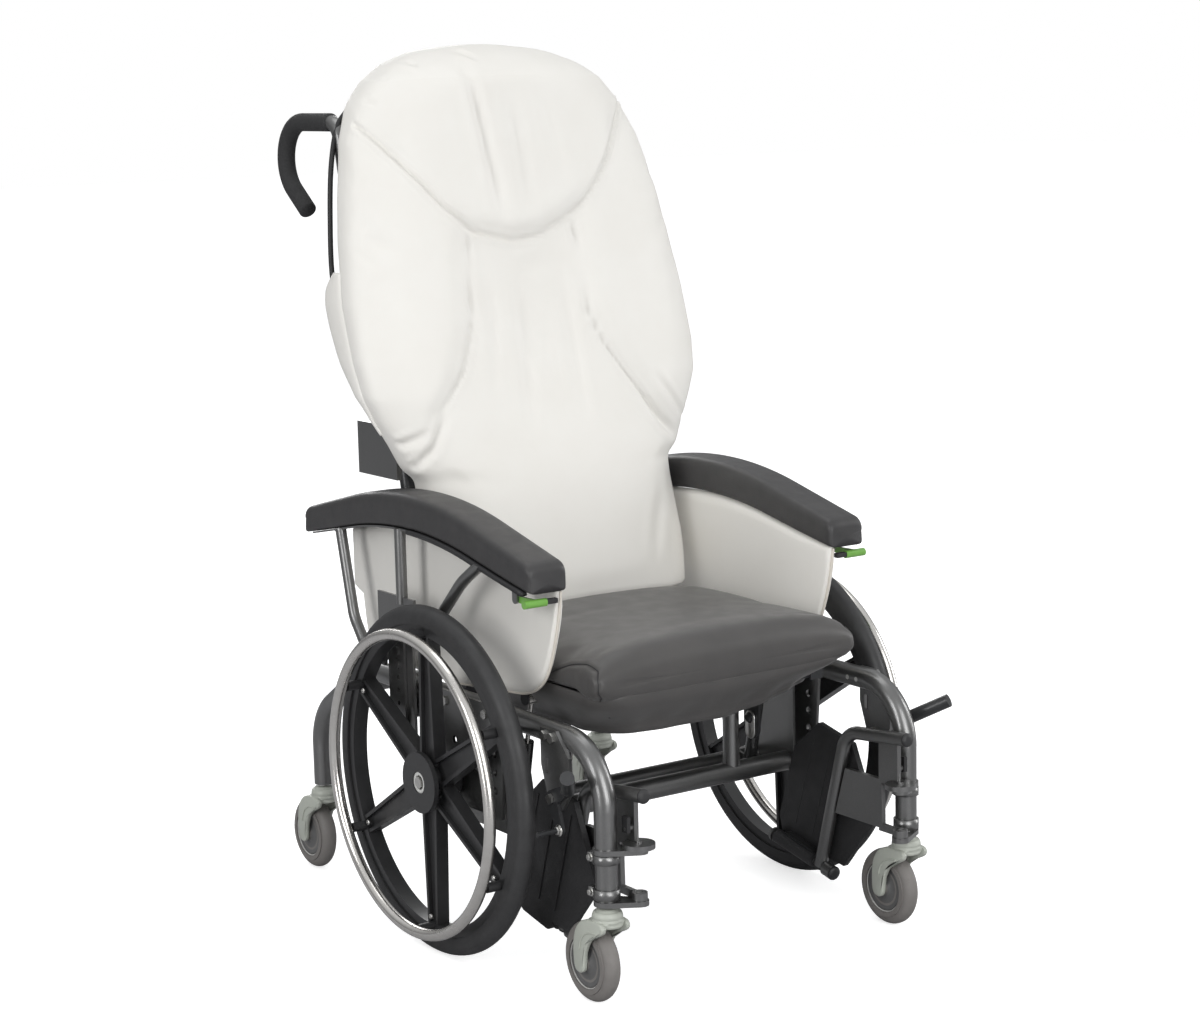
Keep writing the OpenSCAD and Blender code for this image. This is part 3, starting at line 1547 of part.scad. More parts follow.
// Pin of the latch, as far as a distance past the latch's inner face
module latch_pin(past, d) {
    cross_rod(
        hanger_x + hanger_tube_out, hanger_x + latch_out + past,
        -hanger_hinge_y + hanger_arm_start + latch_l / 2, latch_z + latch_pin_up, d
    );
}

// Footrest hanger, swung back under the seat: tube, web, two hinge eyes and the footplate's pin
module hanger() {
    tube_x = hanger_x + hanger_tube_out;
    arm_y = -hanger_hinge_y + hanger_arm_start;
    disc_z = hanger_lug_z + hanger_lug_t + seat_gap;
    foot_z = hanger_foot_lug_z + hanger_lug_t + seat_gap;
    color("#2c2d2e")
    difference() {
        union() {
            bent_tube([
                [tube_x, hanger_cap_y, hanger_top_z + hanger_cap_rise],
                [tube_x, hanger_knee[0], hanger_knee[1]],
                [tube_x, hanger_foot[0], hanger_foot[1]]
            ], [hanger_knee_r], hanger_tube_d);
            side_sheet(tube_x - hanger_web_t / 2, hanger_web_t) polygon(hanger_web);
            translate([hanger_x, -hanger_hinge_y, disc_z]) cylinder(d = hanger_disc_d, h = hanger_disc_t);
            translate([hanger_x, -hanger_hinge_y, foot_z]) cylinder(d = hanger_eye_d, h = hanger_eye_h);
            translate([tube_x - hanger_web_t / 2, arm_y, foot_z])
            cube([hanger_web_t, hanger_arm_l, hanger_eye_h]);
            translate([tube_x - hanger_web_t / 2, arm_y, disc_z])
            cube([hanger_web_t, hanger_arm_l, hanger_top_z - disc_z]);
            latch_pin(-seat_gap, latch_boss_d);
            latch_pin(latch_t + 2 * seat_gap, latch_pin_d);
            rod(flip_point(0), flip_point(1), flip_pin_d);
            rod(flip_point(0), flip_point(flip_boss_share), flip_sleeve_d);
            rod(flip_point(1 - flip_head_share), flip_point(1), flip_sleeve_d);
        }
        for (z = [foot_z, disc_z]) {
            translate([hanger_x, -hanger_hinge_y, z - cut])
            cylinder(d = hanger_pin_d + 2 * fit, h = hanger_eye_h + hanger_pin_room);
        }
    }
}
module hanger_left() { placed() hanger(); }
module hanger_right() { right_side() hanger(); }

// Footplate, folded up outside the hanger tube, with its sleeve on the hanger's pin
module footplate() {
    web_front = flip_point(flip_sleeve_share + flip_web_share);
    web_rear = flip_point(1 - 2 * flip_web_share);
    color("#1f2021")
    difference() {
        union() {
            side_sheet(hanger_x + footplate_out, footplate_t) polygon(footplate_edge);
            rod(flip_point(flip_sleeve_share), flip_point(1 - 2 * flip_head_share), flip_sleeve_d);
            side_sheet(hanger_x + hanger_tube_out, footplate_out)
            link([web_front[1], web_front[2]], [web_rear[1], web_rear[2]], flip_web_r, flip_web_r);
        }
        rod(flip_point(-1), flip_point(2), flip_pin_d + 2 * fit);
    }
}
module footplate_left() { placed() footplate(); }
module footplate_right() { right_side() footplate(); }

// Latch tab that frees the hanger from the leg
module hanger_latch() {
    color("#1f2021")
    difference() {
        translate([hanger_x + latch_out, -hanger_hinge_y + hanger_arm_start, latch_z])
        cube([latch_t, latch_l, latch_h]);
        latch_pin(latch_t + cut, latch_pin_d + 2 * fit);
    }
}
module hanger_latch_left() { placed() hanger_latch(); }
module hanger_latch_right() { right_side() hanger_latch(); }

side_frame_left();
side_frame_right();
cross_frame();
rear_cross_tube();
axle_plate_left();
axle_plate_right();
wheel_axles();
tilt_bearings();
wheel_lock_brackets();
frame_bolts();
seat_frame();
torque_tube();
seat_side_plate_left();
seat_side_plate_right();
seat_pan();
seat_cushion();
seat_skirt();
back_tube_left();
back_tube_right();
push_grip_left();
push_grip_right();
back_frame();
back_shell();
back_cover();
back_clamp_left();
back_clamp_right();
arm_frame_left();
arm_frame_right();
arm_pad_left();
arm_pad_right();
side_panel_left();
side_panel_right();
arm_lever_left();
arm_lever_right();
strut_cylinder_left();
strut_cylinder_right();
strut_rod_left();
strut_rod_right();
drive_wheel_left();
drive_wheel_right();
drive_tyre_left();
drive_tyre_right();
hand_rim_left();
hand_rim_right();
caster_fork_front_left();
caster_fork_front_right();
caster_fork_rear_left();
caster_fork_rear_right();
caster_wheel_front_left();
caster_wheel_front_right();
caster_wheel_rear_left();
caster_wheel_rear_right();
wheel_lock_left();
wheel_lock_right();
hanger_left();
hanger_right();
footplate_left();
footplate_right();
hanger_latch_left();
hanger_latch_right();
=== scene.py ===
import json
import math

import bmesh
import bpy
import numpy as np
from mathutils import Matrix, Vector
from mathutils.bvhtree import BVHTree


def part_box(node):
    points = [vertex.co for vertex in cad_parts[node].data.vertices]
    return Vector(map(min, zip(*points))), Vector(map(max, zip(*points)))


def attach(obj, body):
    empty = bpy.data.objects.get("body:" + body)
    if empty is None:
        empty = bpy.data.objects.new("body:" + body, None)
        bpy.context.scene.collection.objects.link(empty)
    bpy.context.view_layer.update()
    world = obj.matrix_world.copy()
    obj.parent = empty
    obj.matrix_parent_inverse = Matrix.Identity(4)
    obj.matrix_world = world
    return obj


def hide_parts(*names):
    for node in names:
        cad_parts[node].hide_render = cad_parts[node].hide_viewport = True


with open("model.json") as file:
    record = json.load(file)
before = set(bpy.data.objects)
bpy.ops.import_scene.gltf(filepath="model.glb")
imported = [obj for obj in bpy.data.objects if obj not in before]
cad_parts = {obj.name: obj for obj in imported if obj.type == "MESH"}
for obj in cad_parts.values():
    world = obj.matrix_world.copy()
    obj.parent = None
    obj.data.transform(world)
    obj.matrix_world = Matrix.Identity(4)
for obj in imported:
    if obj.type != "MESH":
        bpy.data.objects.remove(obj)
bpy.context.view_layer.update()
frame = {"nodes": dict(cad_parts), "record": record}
nodes = frame["nodes"]


# Lengths are in metres. Soft forms are laid out from the drive wheel's axle, as the solids are.
wheel_low, wheel_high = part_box("drive_wheel_left")
AXLE_Y = (wheel_low.y + wheel_high.y) / 2
SIDES = (("left", 1), ("right", -1))


def at_axle(x, y, z):
    """A point given from the axle, in the row frame."""
    return Vector((x, y + AXLE_Y, z))


# Shader node groups

def new_group(name, inputs, outputs):
    """An empty shader node group with named sockets: inputs are (name, kind, default)."""
    tree = bpy.data.node_groups.new(name, "ShaderNodeTree")
    for label, kind, default in inputs:
        socket = tree.interface.new_socket(name=label, in_out="INPUT", socket_type=kind)
        socket.default_value = default
    for label, kind in outputs:
        tree.interface.new_socket(name=label, in_out="OUTPUT", socket_type=kind)
    ends = tree.nodes.new("NodeGroupInput"), tree.nodes.new("NodeGroupOutput")
    return tree, ends[0], ends[1]


def add_node(tree, kind, links=None, **settings):
    """A node with its settings, and its inputs linked to sockets or set to values."""
    made = tree.nodes.new(kind)
    for key, value in settings.items():
        setattr(made, key, value)
    for label, source in (links or {}).items():
        socket = made.inputs[label]
        if isinstance(source, bpy.types.NodeSocket):
            tree.links.new(source, socket)
        else:
            socket.default_value = source
    return made


def add_noise(tree, inputs):
    """Noise in an object's own coordinates."""
    place = add_node(tree, "ShaderNodeTexCoord")
    return add_node(tree, "ShaderNodeTexNoise", {"Vector": place.outputs["Object"], **inputs})


def combine(tree, operation, first, second):
    """Socket with the result of a calculation on two values."""
    return add_node(tree, "ShaderNodeMath", {0: first, 1: second}, operation=operation).outputs[0]


# Places of the colour sockets on a mix node
MIX_FIRST, MIX_SECOND, MIX_RESULT = 6, 7, 2


def mottle_group():
    """Colour that wanders softly between two tones."""
    tree, given, result = new_group(
        "Mottle",
        [("Base", "NodeSocketColor", (0.5, 0.5, 0.5, 1)), ("Tone", "NodeSocketColor", (0.4, 0.4, 0.4, 1)),
         ("Scale", "NodeSocketFloat", 20.0), ("Amount", "NodeSocketFloat", 0.5)],
        [("Color", "NodeSocketColor")],
    )
    wide = add_noise(tree, {"Scale": given.outputs["Scale"], "Detail": 5.0, "Roughness": 0.6})
    spread = add_node(tree, "ShaderNodeMapRange", {
        "Value": wide.outputs["Fac"], "From Min": 0.35, "From Max": 0.65, "To Min": 0.0, "To Max": 1.0})
    share = combine(tree, "MULTIPLY", spread.outputs["Result"], given.outputs["Amount"])
    mix = add_node(tree, "ShaderNodeMix", {
        "Factor": share, MIX_FIRST: given.outputs["Base"], MIX_SECOND: given.outputs["Tone"]},
                   data_type="RGBA")
    tree.links.new(mix.outputs[MIX_RESULT], result.inputs["Color"])
    return tree


def spread_group():
    """Roughness that varies over the surface, with finer scuffs on top."""
    tree, given, result = new_group(
        "Roughness spread",
        [("Low", "NodeSocketFloat", 0.4), ("High", "NodeSocketFloat", 0.5),
         ("Scale", "NodeSocketFloat", 30.0), ("Scuffs", "NodeSocketFloat", 0.05)],
        [("Roughness", "NodeSocketFloat")],
    )
    wide = add_noise(tree, {"Scale": given.outputs["Scale"], "Detail": 4.0})
    fine = add_noise(tree, {"Scale": 420.0, "Detail": 3.0, "Distortion": 1.5})
    base = add_node(tree, "ShaderNodeMapRange", {
        "Value": wide.outputs["Fac"], "From Min": 0.3, "From Max": 0.7,
        "To Min": given.outputs["Low"], "To Max": given.outputs["High"]})
    scuff = combine(tree, "MULTIPLY", fine.outputs["Fac"], given.outputs["Scuffs"])
    total = combine(tree, "ADD", base.outputs["Result"], scuff)
    tree.links.new(total, result.inputs["Roughness"])
    return tree


def pebble_group():
    """Normal of a pebbled surface: small cells with soft valleys, and a finer dust of noise."""
    tree, given, result = new_group(
        "Pebble",
        [("Scale", "NodeSocketFloat", 500.0), ("Depth", "NodeSocketFloat", 0.0002),
         ("Fine", "NodeSocketFloat", 0.4)],
        [("Normal", "NodeSocketVector")],
    )
    place = add_node(tree, "ShaderNodeTexCoord")
    cells = add_node(tree, "ShaderNodeTexVoronoi", {
        "Vector": place.outputs["Object"], "Scale": given.outputs["Scale"]}, feature="SMOOTH_F1")
    dust = add_noise(tree, {"Scale": given.outputs["Scale"], "Detail": 6.0, "Roughness": 0.7})
    dusty = combine(tree, "MULTIPLY", dust.outputs["Fac"], given.outputs["Fine"])
    height = combine(tree, "SUBTRACT", dusty, cells.outputs["Distance"])
    bump = add_node(tree, "ShaderNodeBump", {
        "Height": height, "Distance": given.outputs["Depth"], "Strength": 1.0})
    tree.links.new(bump.outputs["Normal"], result.inputs["Normal"])
    return tree


def brushed_group():
    """Normal of a brushed surface, with its lines drawn out by a stretch along each axis."""
    tree, given, result = new_group(
        "Brushed",
        [("Stretch", "NodeSocketVector", (1.0, 1.0, 40.0)), ("Depth", "NodeSocketFloat", 0.0001)],
        [("Normal", "NodeSocketVector")],
    )
    place = add_node(tree, "ShaderNodeTexCoord")
    long = add_node(tree, "ShaderNodeVectorMath", {0: place.outputs["Object"], 1: given.outputs["Stretch"]},
                    operation="MULTIPLY")
    lines = add_node(tree, "ShaderNodeTexNoise", {"Vector": long.outputs[0], "Scale": 30.0, "Detail": 8.0})
    bump = add_node(tree, "ShaderNodeBump", {
        "Height": lines.outputs["Fac"], "Distance": given.outputs["Depth"], "Strength": 1.0})
    tree.links.new(bump.outputs["Normal"], result.inputs["Normal"])
    return tree


MOTTLE = mottle_group()
SPREAD = spread_group()
PEBBLE = pebble_group()
BRUSHED = brushed_group()


def use_group(tree, group, **values):
    """A node that places a group, with the values of its named inputs."""
    made = tree.nodes.new("ShaderNodeGroup")
    made.node_tree = group
    for label, value in values.items():
        made.inputs[label].default_value = value
    return made


def finish_material(name, base, tone, rough, metal=0.0, mottle=(25.0, 0.5), pebble=None, brushed=None,
                    scuffs=0.05, coat=0.0, sheen=0.0, spec=0.5):
    """A material with mottled colour, uneven roughness and a surface of its own."""
    made = bpy.data.materials.new(name)
    made.use_nodes = True
    tree = made.node_tree
    shader = tree.nodes["Principled BSDF"]
    shader.inputs["Metallic"].default_value = metal
    shader.inputs["Coat Weight"].default_value = coat
    shader.inputs["Coat Roughness"].default_value = 0.15
    shader.inputs["Sheen Weight"].default_value = sheen
    shader.inputs["Sheen Roughness"].default_value = 0.5
    shader.inputs["Specular IOR Level"].default_value = spec
    colour = use_group(tree, MOTTLE, Base=(*base, 1), Tone=(*tone, 1), Scale=mottle[0], Amount=mottle[1])
    tree.links.new(colour.outputs["Color"], shader.inputs["Base Color"])
    uneven = use_group(tree, SPREAD, Low=rough[0], High=rough[1], Scuffs=scuffs)
    tree.links.new(uneven.outputs["Roughness"], shader.inputs["Roughness"])
    if pebble:
        grain = use_group(tree, PEBBLE, Scale=pebble[0], Depth=pebble[1])
        tree.links.new(grain.outputs["Normal"], shader.inputs["Normal"])
    if brushed:
        grain = use_group(tree, BRUSHED, Stretch=brushed[0], Depth=brushed[1])
        tree.links.new(grain.outputs["Normal"], shader.inputs["Normal"])
    return made


# Two tones of colour, the range of roughness and what sets each finish apart
FINISHES = {
    "frame_paint": dict(
        base=(0.215, 0.215, 0.212), tone=(0.165, 0.165, 0.165), rough=(0.27, 0.35), metal=0.9,
        mottle=(900.0, 0.8), pebble=(1400.0, 0.00004), coat=0.3),
    "dark_steel": dict(
        base=(0.035, 0.036, 0.038), tone=(0.02, 0.021, 0.022), rough=(0.32, 0.42), metal=0.35,
        pebble=(900.0, 0.00005), coat=0.2),
    "zinc": dict(
        base=(0.66, 0.65, 0.62), tone=(0.5, 0.5, 0.49), rough=(0.22, 0.36), metal=1.0,
        mottle=(120.0, 0.7), brushed=((1.0, 1.0, 12.0), 0.00004)),
    "stainless": dict(
        base=(0.72, 0.70, 0.67), tone=(0.6, 0.58, 0.55), rough=(0.14, 0.24), metal=1.0,
        mottle=(60.0, 0.4), brushed=((60.0, 3.0, 3.0), 0.00003), scuffs=0.08),
    "cream_vinyl": dict(
        base=(0.78, 0.765, 0.725), tone=(0.75, 0.73, 0.685), rough=(0.42, 0.52),
        mottle=(9.0, 0.5), pebble=(900.0, 0.00010), sheen=0.15, spec=0.4),
    "grey_vinyl": dict(
        base=(0.060, 0.057, 0.055), tone=(0.047, 0.045, 0.044), rough=(0.36, 0.46),
        mottle=(14.0, 0.6), pebble=(800.0, 0.00014), sheen=0.12, spec=0.45),
    "shell_plastic": dict(
        base=(0.018, 0.018, 0.019), tone=(0.026, 0.026, 0.027), rough=(0.45, 0.6),
        pebble=(1100.0, 0.00012)),
    "pad_foam": dict(
        base=(0.033, 0.032, 0.033), tone=(0.044, 0.043, 0.043), rough=(0.36, 0.48),
        mottle=(40.0, 0.5), pebble=(620.0, 0.00022), scuffs=0.08),
    "grip_foam": dict(
        base=(0.022, 0.022, 0.023), tone=(0.034, 0.034, 0.035), rough=(0.7, 0.85),
        mottle=(300.0, 0.6), pebble=(1000.0, 0.0004)),
    "wheel_plastic": dict(
        base=(0.022, 0.022, 0.023), tone=(0.03, 0.03, 0.031), rough=(0.3, 0.42),
        mottle=(30.0, 0.5), pebble=(700.0, 0.00006)),
    "grey_tyre": dict(
        base=(0.024, 0.024, 0.025), tone=(0.034, 0.034, 0.035), rough=(0.42, 0.55),
        mottle=(50.0, 0.6), pebble=(500.0, 0.0001), scuffs=0.12),
    "caster_fork": dict(
        base=(0.43, 0.45, 0.40), tone=(0.39, 0.41, 0.365), rough=(0.34, 0.44),
        mottle=(90.0, 0.4), pebble=(1300.0, 0.00006)),
    "caster_wheel": dict(
        base=(0.175, 0.164, 0.155), tone=(0.205, 0.194, 0.185), rough=(0.45, 0.6),
        mottle=(70.0, 0.5), pebble=(700.0, 0.00008), scuffs=0.1),
    "lever_green": dict(
        base=(0.15, 0.36, 0.06), tone=(0.18, 0.42, 0.08), rough=(0.25, 0.35),
        mottle=(80.0, 0.5), pebble=(900.0, 0.00004), coat=0.3),
    "footplate_plastic": dict(
        base=(0.016, 0.016, 0.017), tone=(0.024, 0.024, 0.025), rough=(0.4, 0.55), pebble=(600.0, 0.0003)),
    "gas_cylinder": dict(
        base=(0.015, 0.015, 0.015), tone=(0.022, 0.022, 0.023), rough=(0.15, 0.25),
        pebble=(900.0, 0.00002), coat=0.5),
    "caster_hub": dict(
        base=(0.105, 0.105, 0.105), tone=(0.13, 0.13, 0.13), rough=(0.4, 0.5),
        mottle=(70.0, 0.5), pebble=(900.0, 0.00006)),
    "white_ring": dict(
        base=(0.62, 0.62, 0.6), tone=(0.55, 0.55, 0.53), rough=(0.35, 0.45),
        mottle=(60.0, 0.4), pebble=(900.0, 0.00004)),
    "piping": dict(
        base=(0.66, 0.62, 0.55), tone=(0.6, 0.56, 0.5), rough=(0.45, 0.55),
        mottle=(60.0, 0.5), pebble=(1500.0, 0.00008)),
}
MATERIALS = {name: finish_material(name, **finish) for name, finish in FINISHES.items()}

# The last three finishes are trims, for pieces that this script adds.
SLOT_OF = {entry["node"]: entry["material_slot"] for entry in frame["record"]["subparts"]}
for name, piece in nodes.items():
    piece.data.materials.clear()
    piece.data.materials.append(MATERIALS[SLOT_OF[name]])


# Mesh helpers

def place_mesh(name, mesh, body, slot):
    """An object for a mesh, in its material, that rides on a body."""
    made = bpy.data.objects.new(name, mesh)
    bpy.context.scene.collection.objects.link(made)
    mesh.materials.append(MATERIALS[slot])
    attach(made, body)
    return made


def shade(mesh, smooth):
    """Smooth or flat shading for a whole mesh."""
    mesh.polygons.foreach_set("use_smooth", [smooth] * len(mesh.polygons))


def make_object(name, points, faces, body, slot):
    """A smooth piece from points and faces."""
    mesh = bpy.data.meshes.new(name)
    mesh.from_pydata([tuple(p) for p in points], [], faces)
    mesh.validate()
    bm = bmesh.new()
    bm.from_mesh(mesh)
    bmesh.ops.recalc_face_normals(bm, faces=bm.faces)
    bm.to_mesh(mesh)
    bm.free()
    shade(mesh, True)
    return place_mesh(name, mesh, body, slot)


def skin(rings, closed=False):
    """Points and faces of a skin through rings. The end rings get a cap, or are joined if closed."""
    count = len(rings[0])
    points = [p for ring in rings for p in ring]
    faces = []
    rows = len(rings)
    for i in range(rows if closed else rows - 1):
        here, above = i * count, (i + 1) % rows * count
        for j in range(count):
            k = (j + 1) % count
            faces.append((here + j, here + k, above + k, above + j))
    if not closed:
        for start in (0, (rows - 1) * count):
            points.append(sum((Vector(p) for p in points[start:start + count]), Vector()) / count)
            middle = len(points) - 1
            for j in range(count):
                faces.append((middle, start + j, start + (j + 1) % count))
    return points, faces


def loft(name, rings, body, slot, closed=False):
    """A skin through rings of points as an object."""
    points, faces = skin(rings, closed)
    return make_object(name, points, faces, body, slot)


def joined(name, skins, body, slot):
    """Several skins as one object."""
    points, faces = [], []
    for own_points, own_faces in skins:
        first = len(points)
        points.extend(own_points)
        faces.extend(tuple(first + i for i in face) for face in own_faces)
    return make_object(name, points, faces, body, slot)


def two_sided(lines, steps):
    """Faces of a thin sheet with two layers of points: each is lines by steps squares, closed all round."""
    wide = steps + 1
    block = wide * (lines + 1)
    faces = []
    for i in range(lines):
        for j in range(steps):
            a = i * wide + j
            faces.append((a, a + 1, a + wide + 1, a + wide))
            faces.append((block + a, block + a + wide, block + a + wide + 1, block + a + 1))
        for j in (0, steps):
            a = i * wide + j
            faces.append((a, a + wide, block + a + wide, block + a))
    for j in range(steps):
        for i in (0, lines):
            a = i * wide + j
            faces.append((a, a + 1, block + a + 1, block + a))
    return faces


def circle(centre, side, other, radius, count):
    """Points of a circle in the plane of two unit vectors."""
    turns = [2 * math.pi * k / count for k in range(count)]
    return [centre + (side * math.cos(t) + other * math.sin(t)) * radius for t in turns]


def sweep(name, path, radius, body, slot, sides=20, round_end=0.0):
    """A round bar along a path, with domed ends where round_end is above zero."""
    path = [Vector(p) for p in path]
    head, tail = [], []
    if round_end:
        first, last = (path[1] - path[0]).normalized(), (path[-1] - path[-2]).normalized()
        steps = [math.radians(a) for a in (90, 65, 40, 15)]
        head = [(path[0] - first * round_end * math.sin(a), math.cos(a)) for a in steps]
        tail = [(path[-1] + last * round_end * math.sin(a), math.cos(a)) for a in reversed(steps)]
    stations = head + [(p, 1.0) for p in path] + tail
    tip_share = 0.04
    rings = []
    side = None
    for i, (here, share) in enumerate(stations):
        before = stations[max(i - 1, 0)][0]
        after = stations[min(i + 1, len(stations) - 1)][0]
        way = (after - before).normalized()
        if side is None:
            side = way.orthogonal().normalized()
        side = (side - way * side.dot(way)).normalized()
        rings.append(circle(here, side, way.cross(side), radius * max(share, tip_share), sides))
    return loft(name, rings, body, slot)


def curve_points(points, steps=8):
    """A smooth line through points, with the given number of steps between each two."""
    points = [Vector(p) for p in points]
    result = []
    for i in range(len(points) - 1):
        a, b = points[max(i - 1, 0)], points[i]
        c, d = points[i + 1], points[min(i + 2, len(points) - 1)]
        for step in range(steps):
            t = step / steps
            result.append(0.5 * (2 * b + (c - a) * t + (2 * a - 5 * b + 4 * c - d) * t * t
                                 + (3 * b - a - 3 * c + d) * t ** 3))
    return result + [points[-1]]


def table_value(rows, place):
    """Value at a place, on the straight lines between the rows of a (place, value) table."""
    return float(np.interp(place, [row[0] for row in rows], [row[1] for row in rows]))


def signed_power(value, power):
    """A power that keeps the sign. Powers below one make a round section squarer."""
    return math.copysign(abs(value) ** power, value)


def ease(low, high, value):
    """Smooth step from 0 to 1."""
    share = min(1.0, max(0.0, (value - low) / (high - low)))
    return share * share * (3 - 2 * share)


def distance_to_line(point, line):
    """Distance of a 2-D point to a line through points, and the share of the way along it."""
    best, best_share = 1e9, 0.0
    count = len(line) - 1
    for i in range(count):
        a, b = Vector(line[i]), Vector(line[i + 1])
        run = b - a
        t = min(1.0, max(0.0, (point - a).dot(run) / run.dot(run)))
        gap = (a + run * t - point).length
        if gap < best:
            best, best_share = gap, (i + t) / count
    return best, best_share


def swell(piece, pressure, cap, steps=20):
    """Inflates a closed piece with cloth under pressure, moving no point by more than the cap."""
    scene = bpy.context.scene
    rest = [v.co.copy() for v in piece.data.vertices]
    cloth = piece.modifiers.new("Cloth", "CLOTH")
    cloth.settings.use_pressure = True
    cloth.settings.uniform_pressure_force = pressure
    cloth.settings.effector_weights.gravity = 0
    cloth.settings.tension_stiffness = 30
    cloth.settings.bending_stiffness = 1.5
    cloth.settings.quality = 5
    cloth.collision_settings.use_collision = False
    for number in range(1, steps + 1):
        scene.frame_set(number)
    depsgraph = bpy.context.evaluated_depsgraph_get()
    grown = [v.co.copy() for v in piece.evaluated_get(depsgraph).data.vertices]
    piece.modifiers.clear()
    scene.frame_set(1)
    for vertex, start, end in zip(piece.data.vertices, rest, grown):
        move = end - start
        if move.length > cap:
            move *= cap / move.length
        vertex.co = start + move
    piece.data.update()


def refine(piece):
    """One round of smooth subdivision, applied."""
    bpy.context.view_layer.objects.active = piece
    modifier = piece.modifiers.new("Finer", "SUBSURF")
    modifier.levels = 1
    modifier.render_levels = 1
    depsgraph = bpy.context.evaluated_depsgraph_get()
    fine = bpy.data.meshes.new_from_object(piece.evaluated_get(depsgraph))
    piece.modifiers.clear()
    old = piece.data
    piece.data = fine
    bpy.data.meshes.remove(old)
    shade(fine, True)


def crease(piece, lines, across, facing):
    """Presses seams and folds into a piece: lines are (points, depth, width, fade at the ends).

    across turns a vertex into the plane the lines lie in, and facing is the way it looks."""
    turned_away, square_on = 0.15, 0.5
    lip_height, lip_place = 0.35, 1.9
    mesh = piece.data
    normals = [v.normal.copy() for v in mesh.vertices]
    moves = [0.0] * len(mesh.vertices)
    for line, depth, width, fade in lines:
        line = [Vector(p) for p in line]
        reach = 3 * width
        low = Vector((min(p.x for p in line) - reach, min(p.y for p in line) - reach))
        high = Vector((max(p.x for p in line) + reach, max(p.y for p in line) + reach))
        for i, vertex in enumerate(mesh.vertices):
            look = normals[i].dot(facing)
            if look < turned_away:
                continue
            place = across(vertex.co)
            if not (low.x < place.x < high.x and low.y < place.y < high.y):
                continue
            gap, share = distance_to_line(place, line)
            if gap > reach:
                continue
            hold = min(1.0, share / fade, (1 - share) / fade) if fade else 1.0
            lip = lip_height * math.exp(-((gap - lip_place * width) / width) ** 2)
            press = math.exp(-(gap / width) ** 2) - lip
            moves[i] -= depth * press * max(0.0, hold) * ease(turned_away, square_on, look)
    for vertex, normal, move in zip(mesh.vertices, normals, moves):
        vertex.co += normal * move
    mesh.update()


def surface_of(mesh, place=Matrix.Identity(4)):
    """The faces of a mesh for ray casts."""
    return BVHTree.FromPolygons([place @ v.co for v in mesh.vertices], [p.vertices for p in mesh.polygons])


def keep_ahead_of(piece, node, gap, reach=0.008):
    """Keeps a piece's rear ahead of the rear face of a node, and of its edge within reach."""
    surface = surface_of(nodes[node].data, nodes[node].matrix_world)
    far = 3.0
    for vertex in piece.data.vertices:
        for x, z in ((0, 0), (reach, 0), (-reach, 0), (0, reach), (0, -reach)):
            start = Vector((vertex.co.x + x, far, vertex.co.z + z))
            hit = surface.ray_cast(start, Vector((0, -1, 0)))[0]
            if hit and vertex.co.y > hit.y - gap:
                vertex.co.y = hit.y - gap
    piece.data.update()


# Back cover: crowned between its side edges, with a head pillow, two wings and drawn folds.
# Its half width and its rear edge go by height. Seams and folds are (x, z) points from the front.
BACK_LOW, BACK_HIGH = 0.506, 1.461
BACK_HALF = [
    (0.506, 0.238), (0.56, 0.250), (0.60, 0.255), (0.735, 0.257), (0.752, 0.279), (0.795, 0.299),
    (0.838, 0.322), (0.879, 0.339), (0.936, 0.346), (1.028, 0.345), (1.132, 0.333), (1.202, 0.321),
    (1.30, 0.298), (1.358, 0.272), (1.40, 0.236), (1.43, 0.19), (1.45, 0.135), (1.458, 0.085),
    (1.461, 0.03),
]
BACK_EDGE = [
    (0.506, 0.145), (0.528, 0.15), (0.70, 0.212), (0.795, 0.228), (0.838, 0.235), (0.879, 0.239),
    (0.936, 0.255), (1.028, 0.287), (1.132, 0.316), (1.202, 0.334), (1.30, 0.36), (1.377, 0.385),
    (1.461, 0.398),
]
PILLOW_SEAM = [
    (-0.300, 1.352), (-0.262, 1.306), (-0.222, 1.254), (-0.167, 1.189), (-0.108, 1.141), (-0.035, 1.122),
    (0.019, 1.129), (0.073, 1.154), (0.114, 1.181), (0.165, 1.236), (0.222, 1.31), (0.27, 1.365),
]
WING_SEAMS = [
    [(-0.118, 1.148), (-0.129, 1.11), (-0.132, 1.071), (-0.143, 0.993), (-0.174, 0.916), (-0.228, 0.849)],
    [(0.096, 1.166), (0.089, 1.12), (0.088, 1.08), (0.093, 1.003), (0.115, 0.942), (0.165, 0.868),
     (0.222, 0.79)],
]


def back_front_y(z):
    """Front plane of the back cover, from the axle."""
    return 0.13 + 0.26 * (z - 0.72)


def pillow_seam_z(x):
    """Height of the seam under the head pillow."""
    return table_value(PILLOW_SEAM, x)


def wing_seam_x(z, side):
    """Distance of a wing's inner seam from the middle."""
    seam = WING_SEAMS[0 if side < 0 else 1]
    return table_value(sorted((height, abs(x)) for x, height in seam), z)


def back_relief(x, z):
    """How far the cover's panels stand ahead of its plane."""
    pillow = ease(-0.002, 0.03, z - pillow_seam_z(x))
    wing = ease(-0.004, 0.045, abs(x) - wing_seam_x(z, x)) * (1 - pillow) * ease(0.70, 0.86, z)
    hollow = math.exp(-((z - 1.0) / 0.14) ** 2 - (x / 0.08) ** 2)
    lumbar = math.exp(-((z - 0.74) / 0.12) ** 2 - (x / 0.18) ** 2)
    return 0.015 * pillow + 0.012 * wing - 0.008 * hollow * (1 - pillow) + 0.008 * lumbar


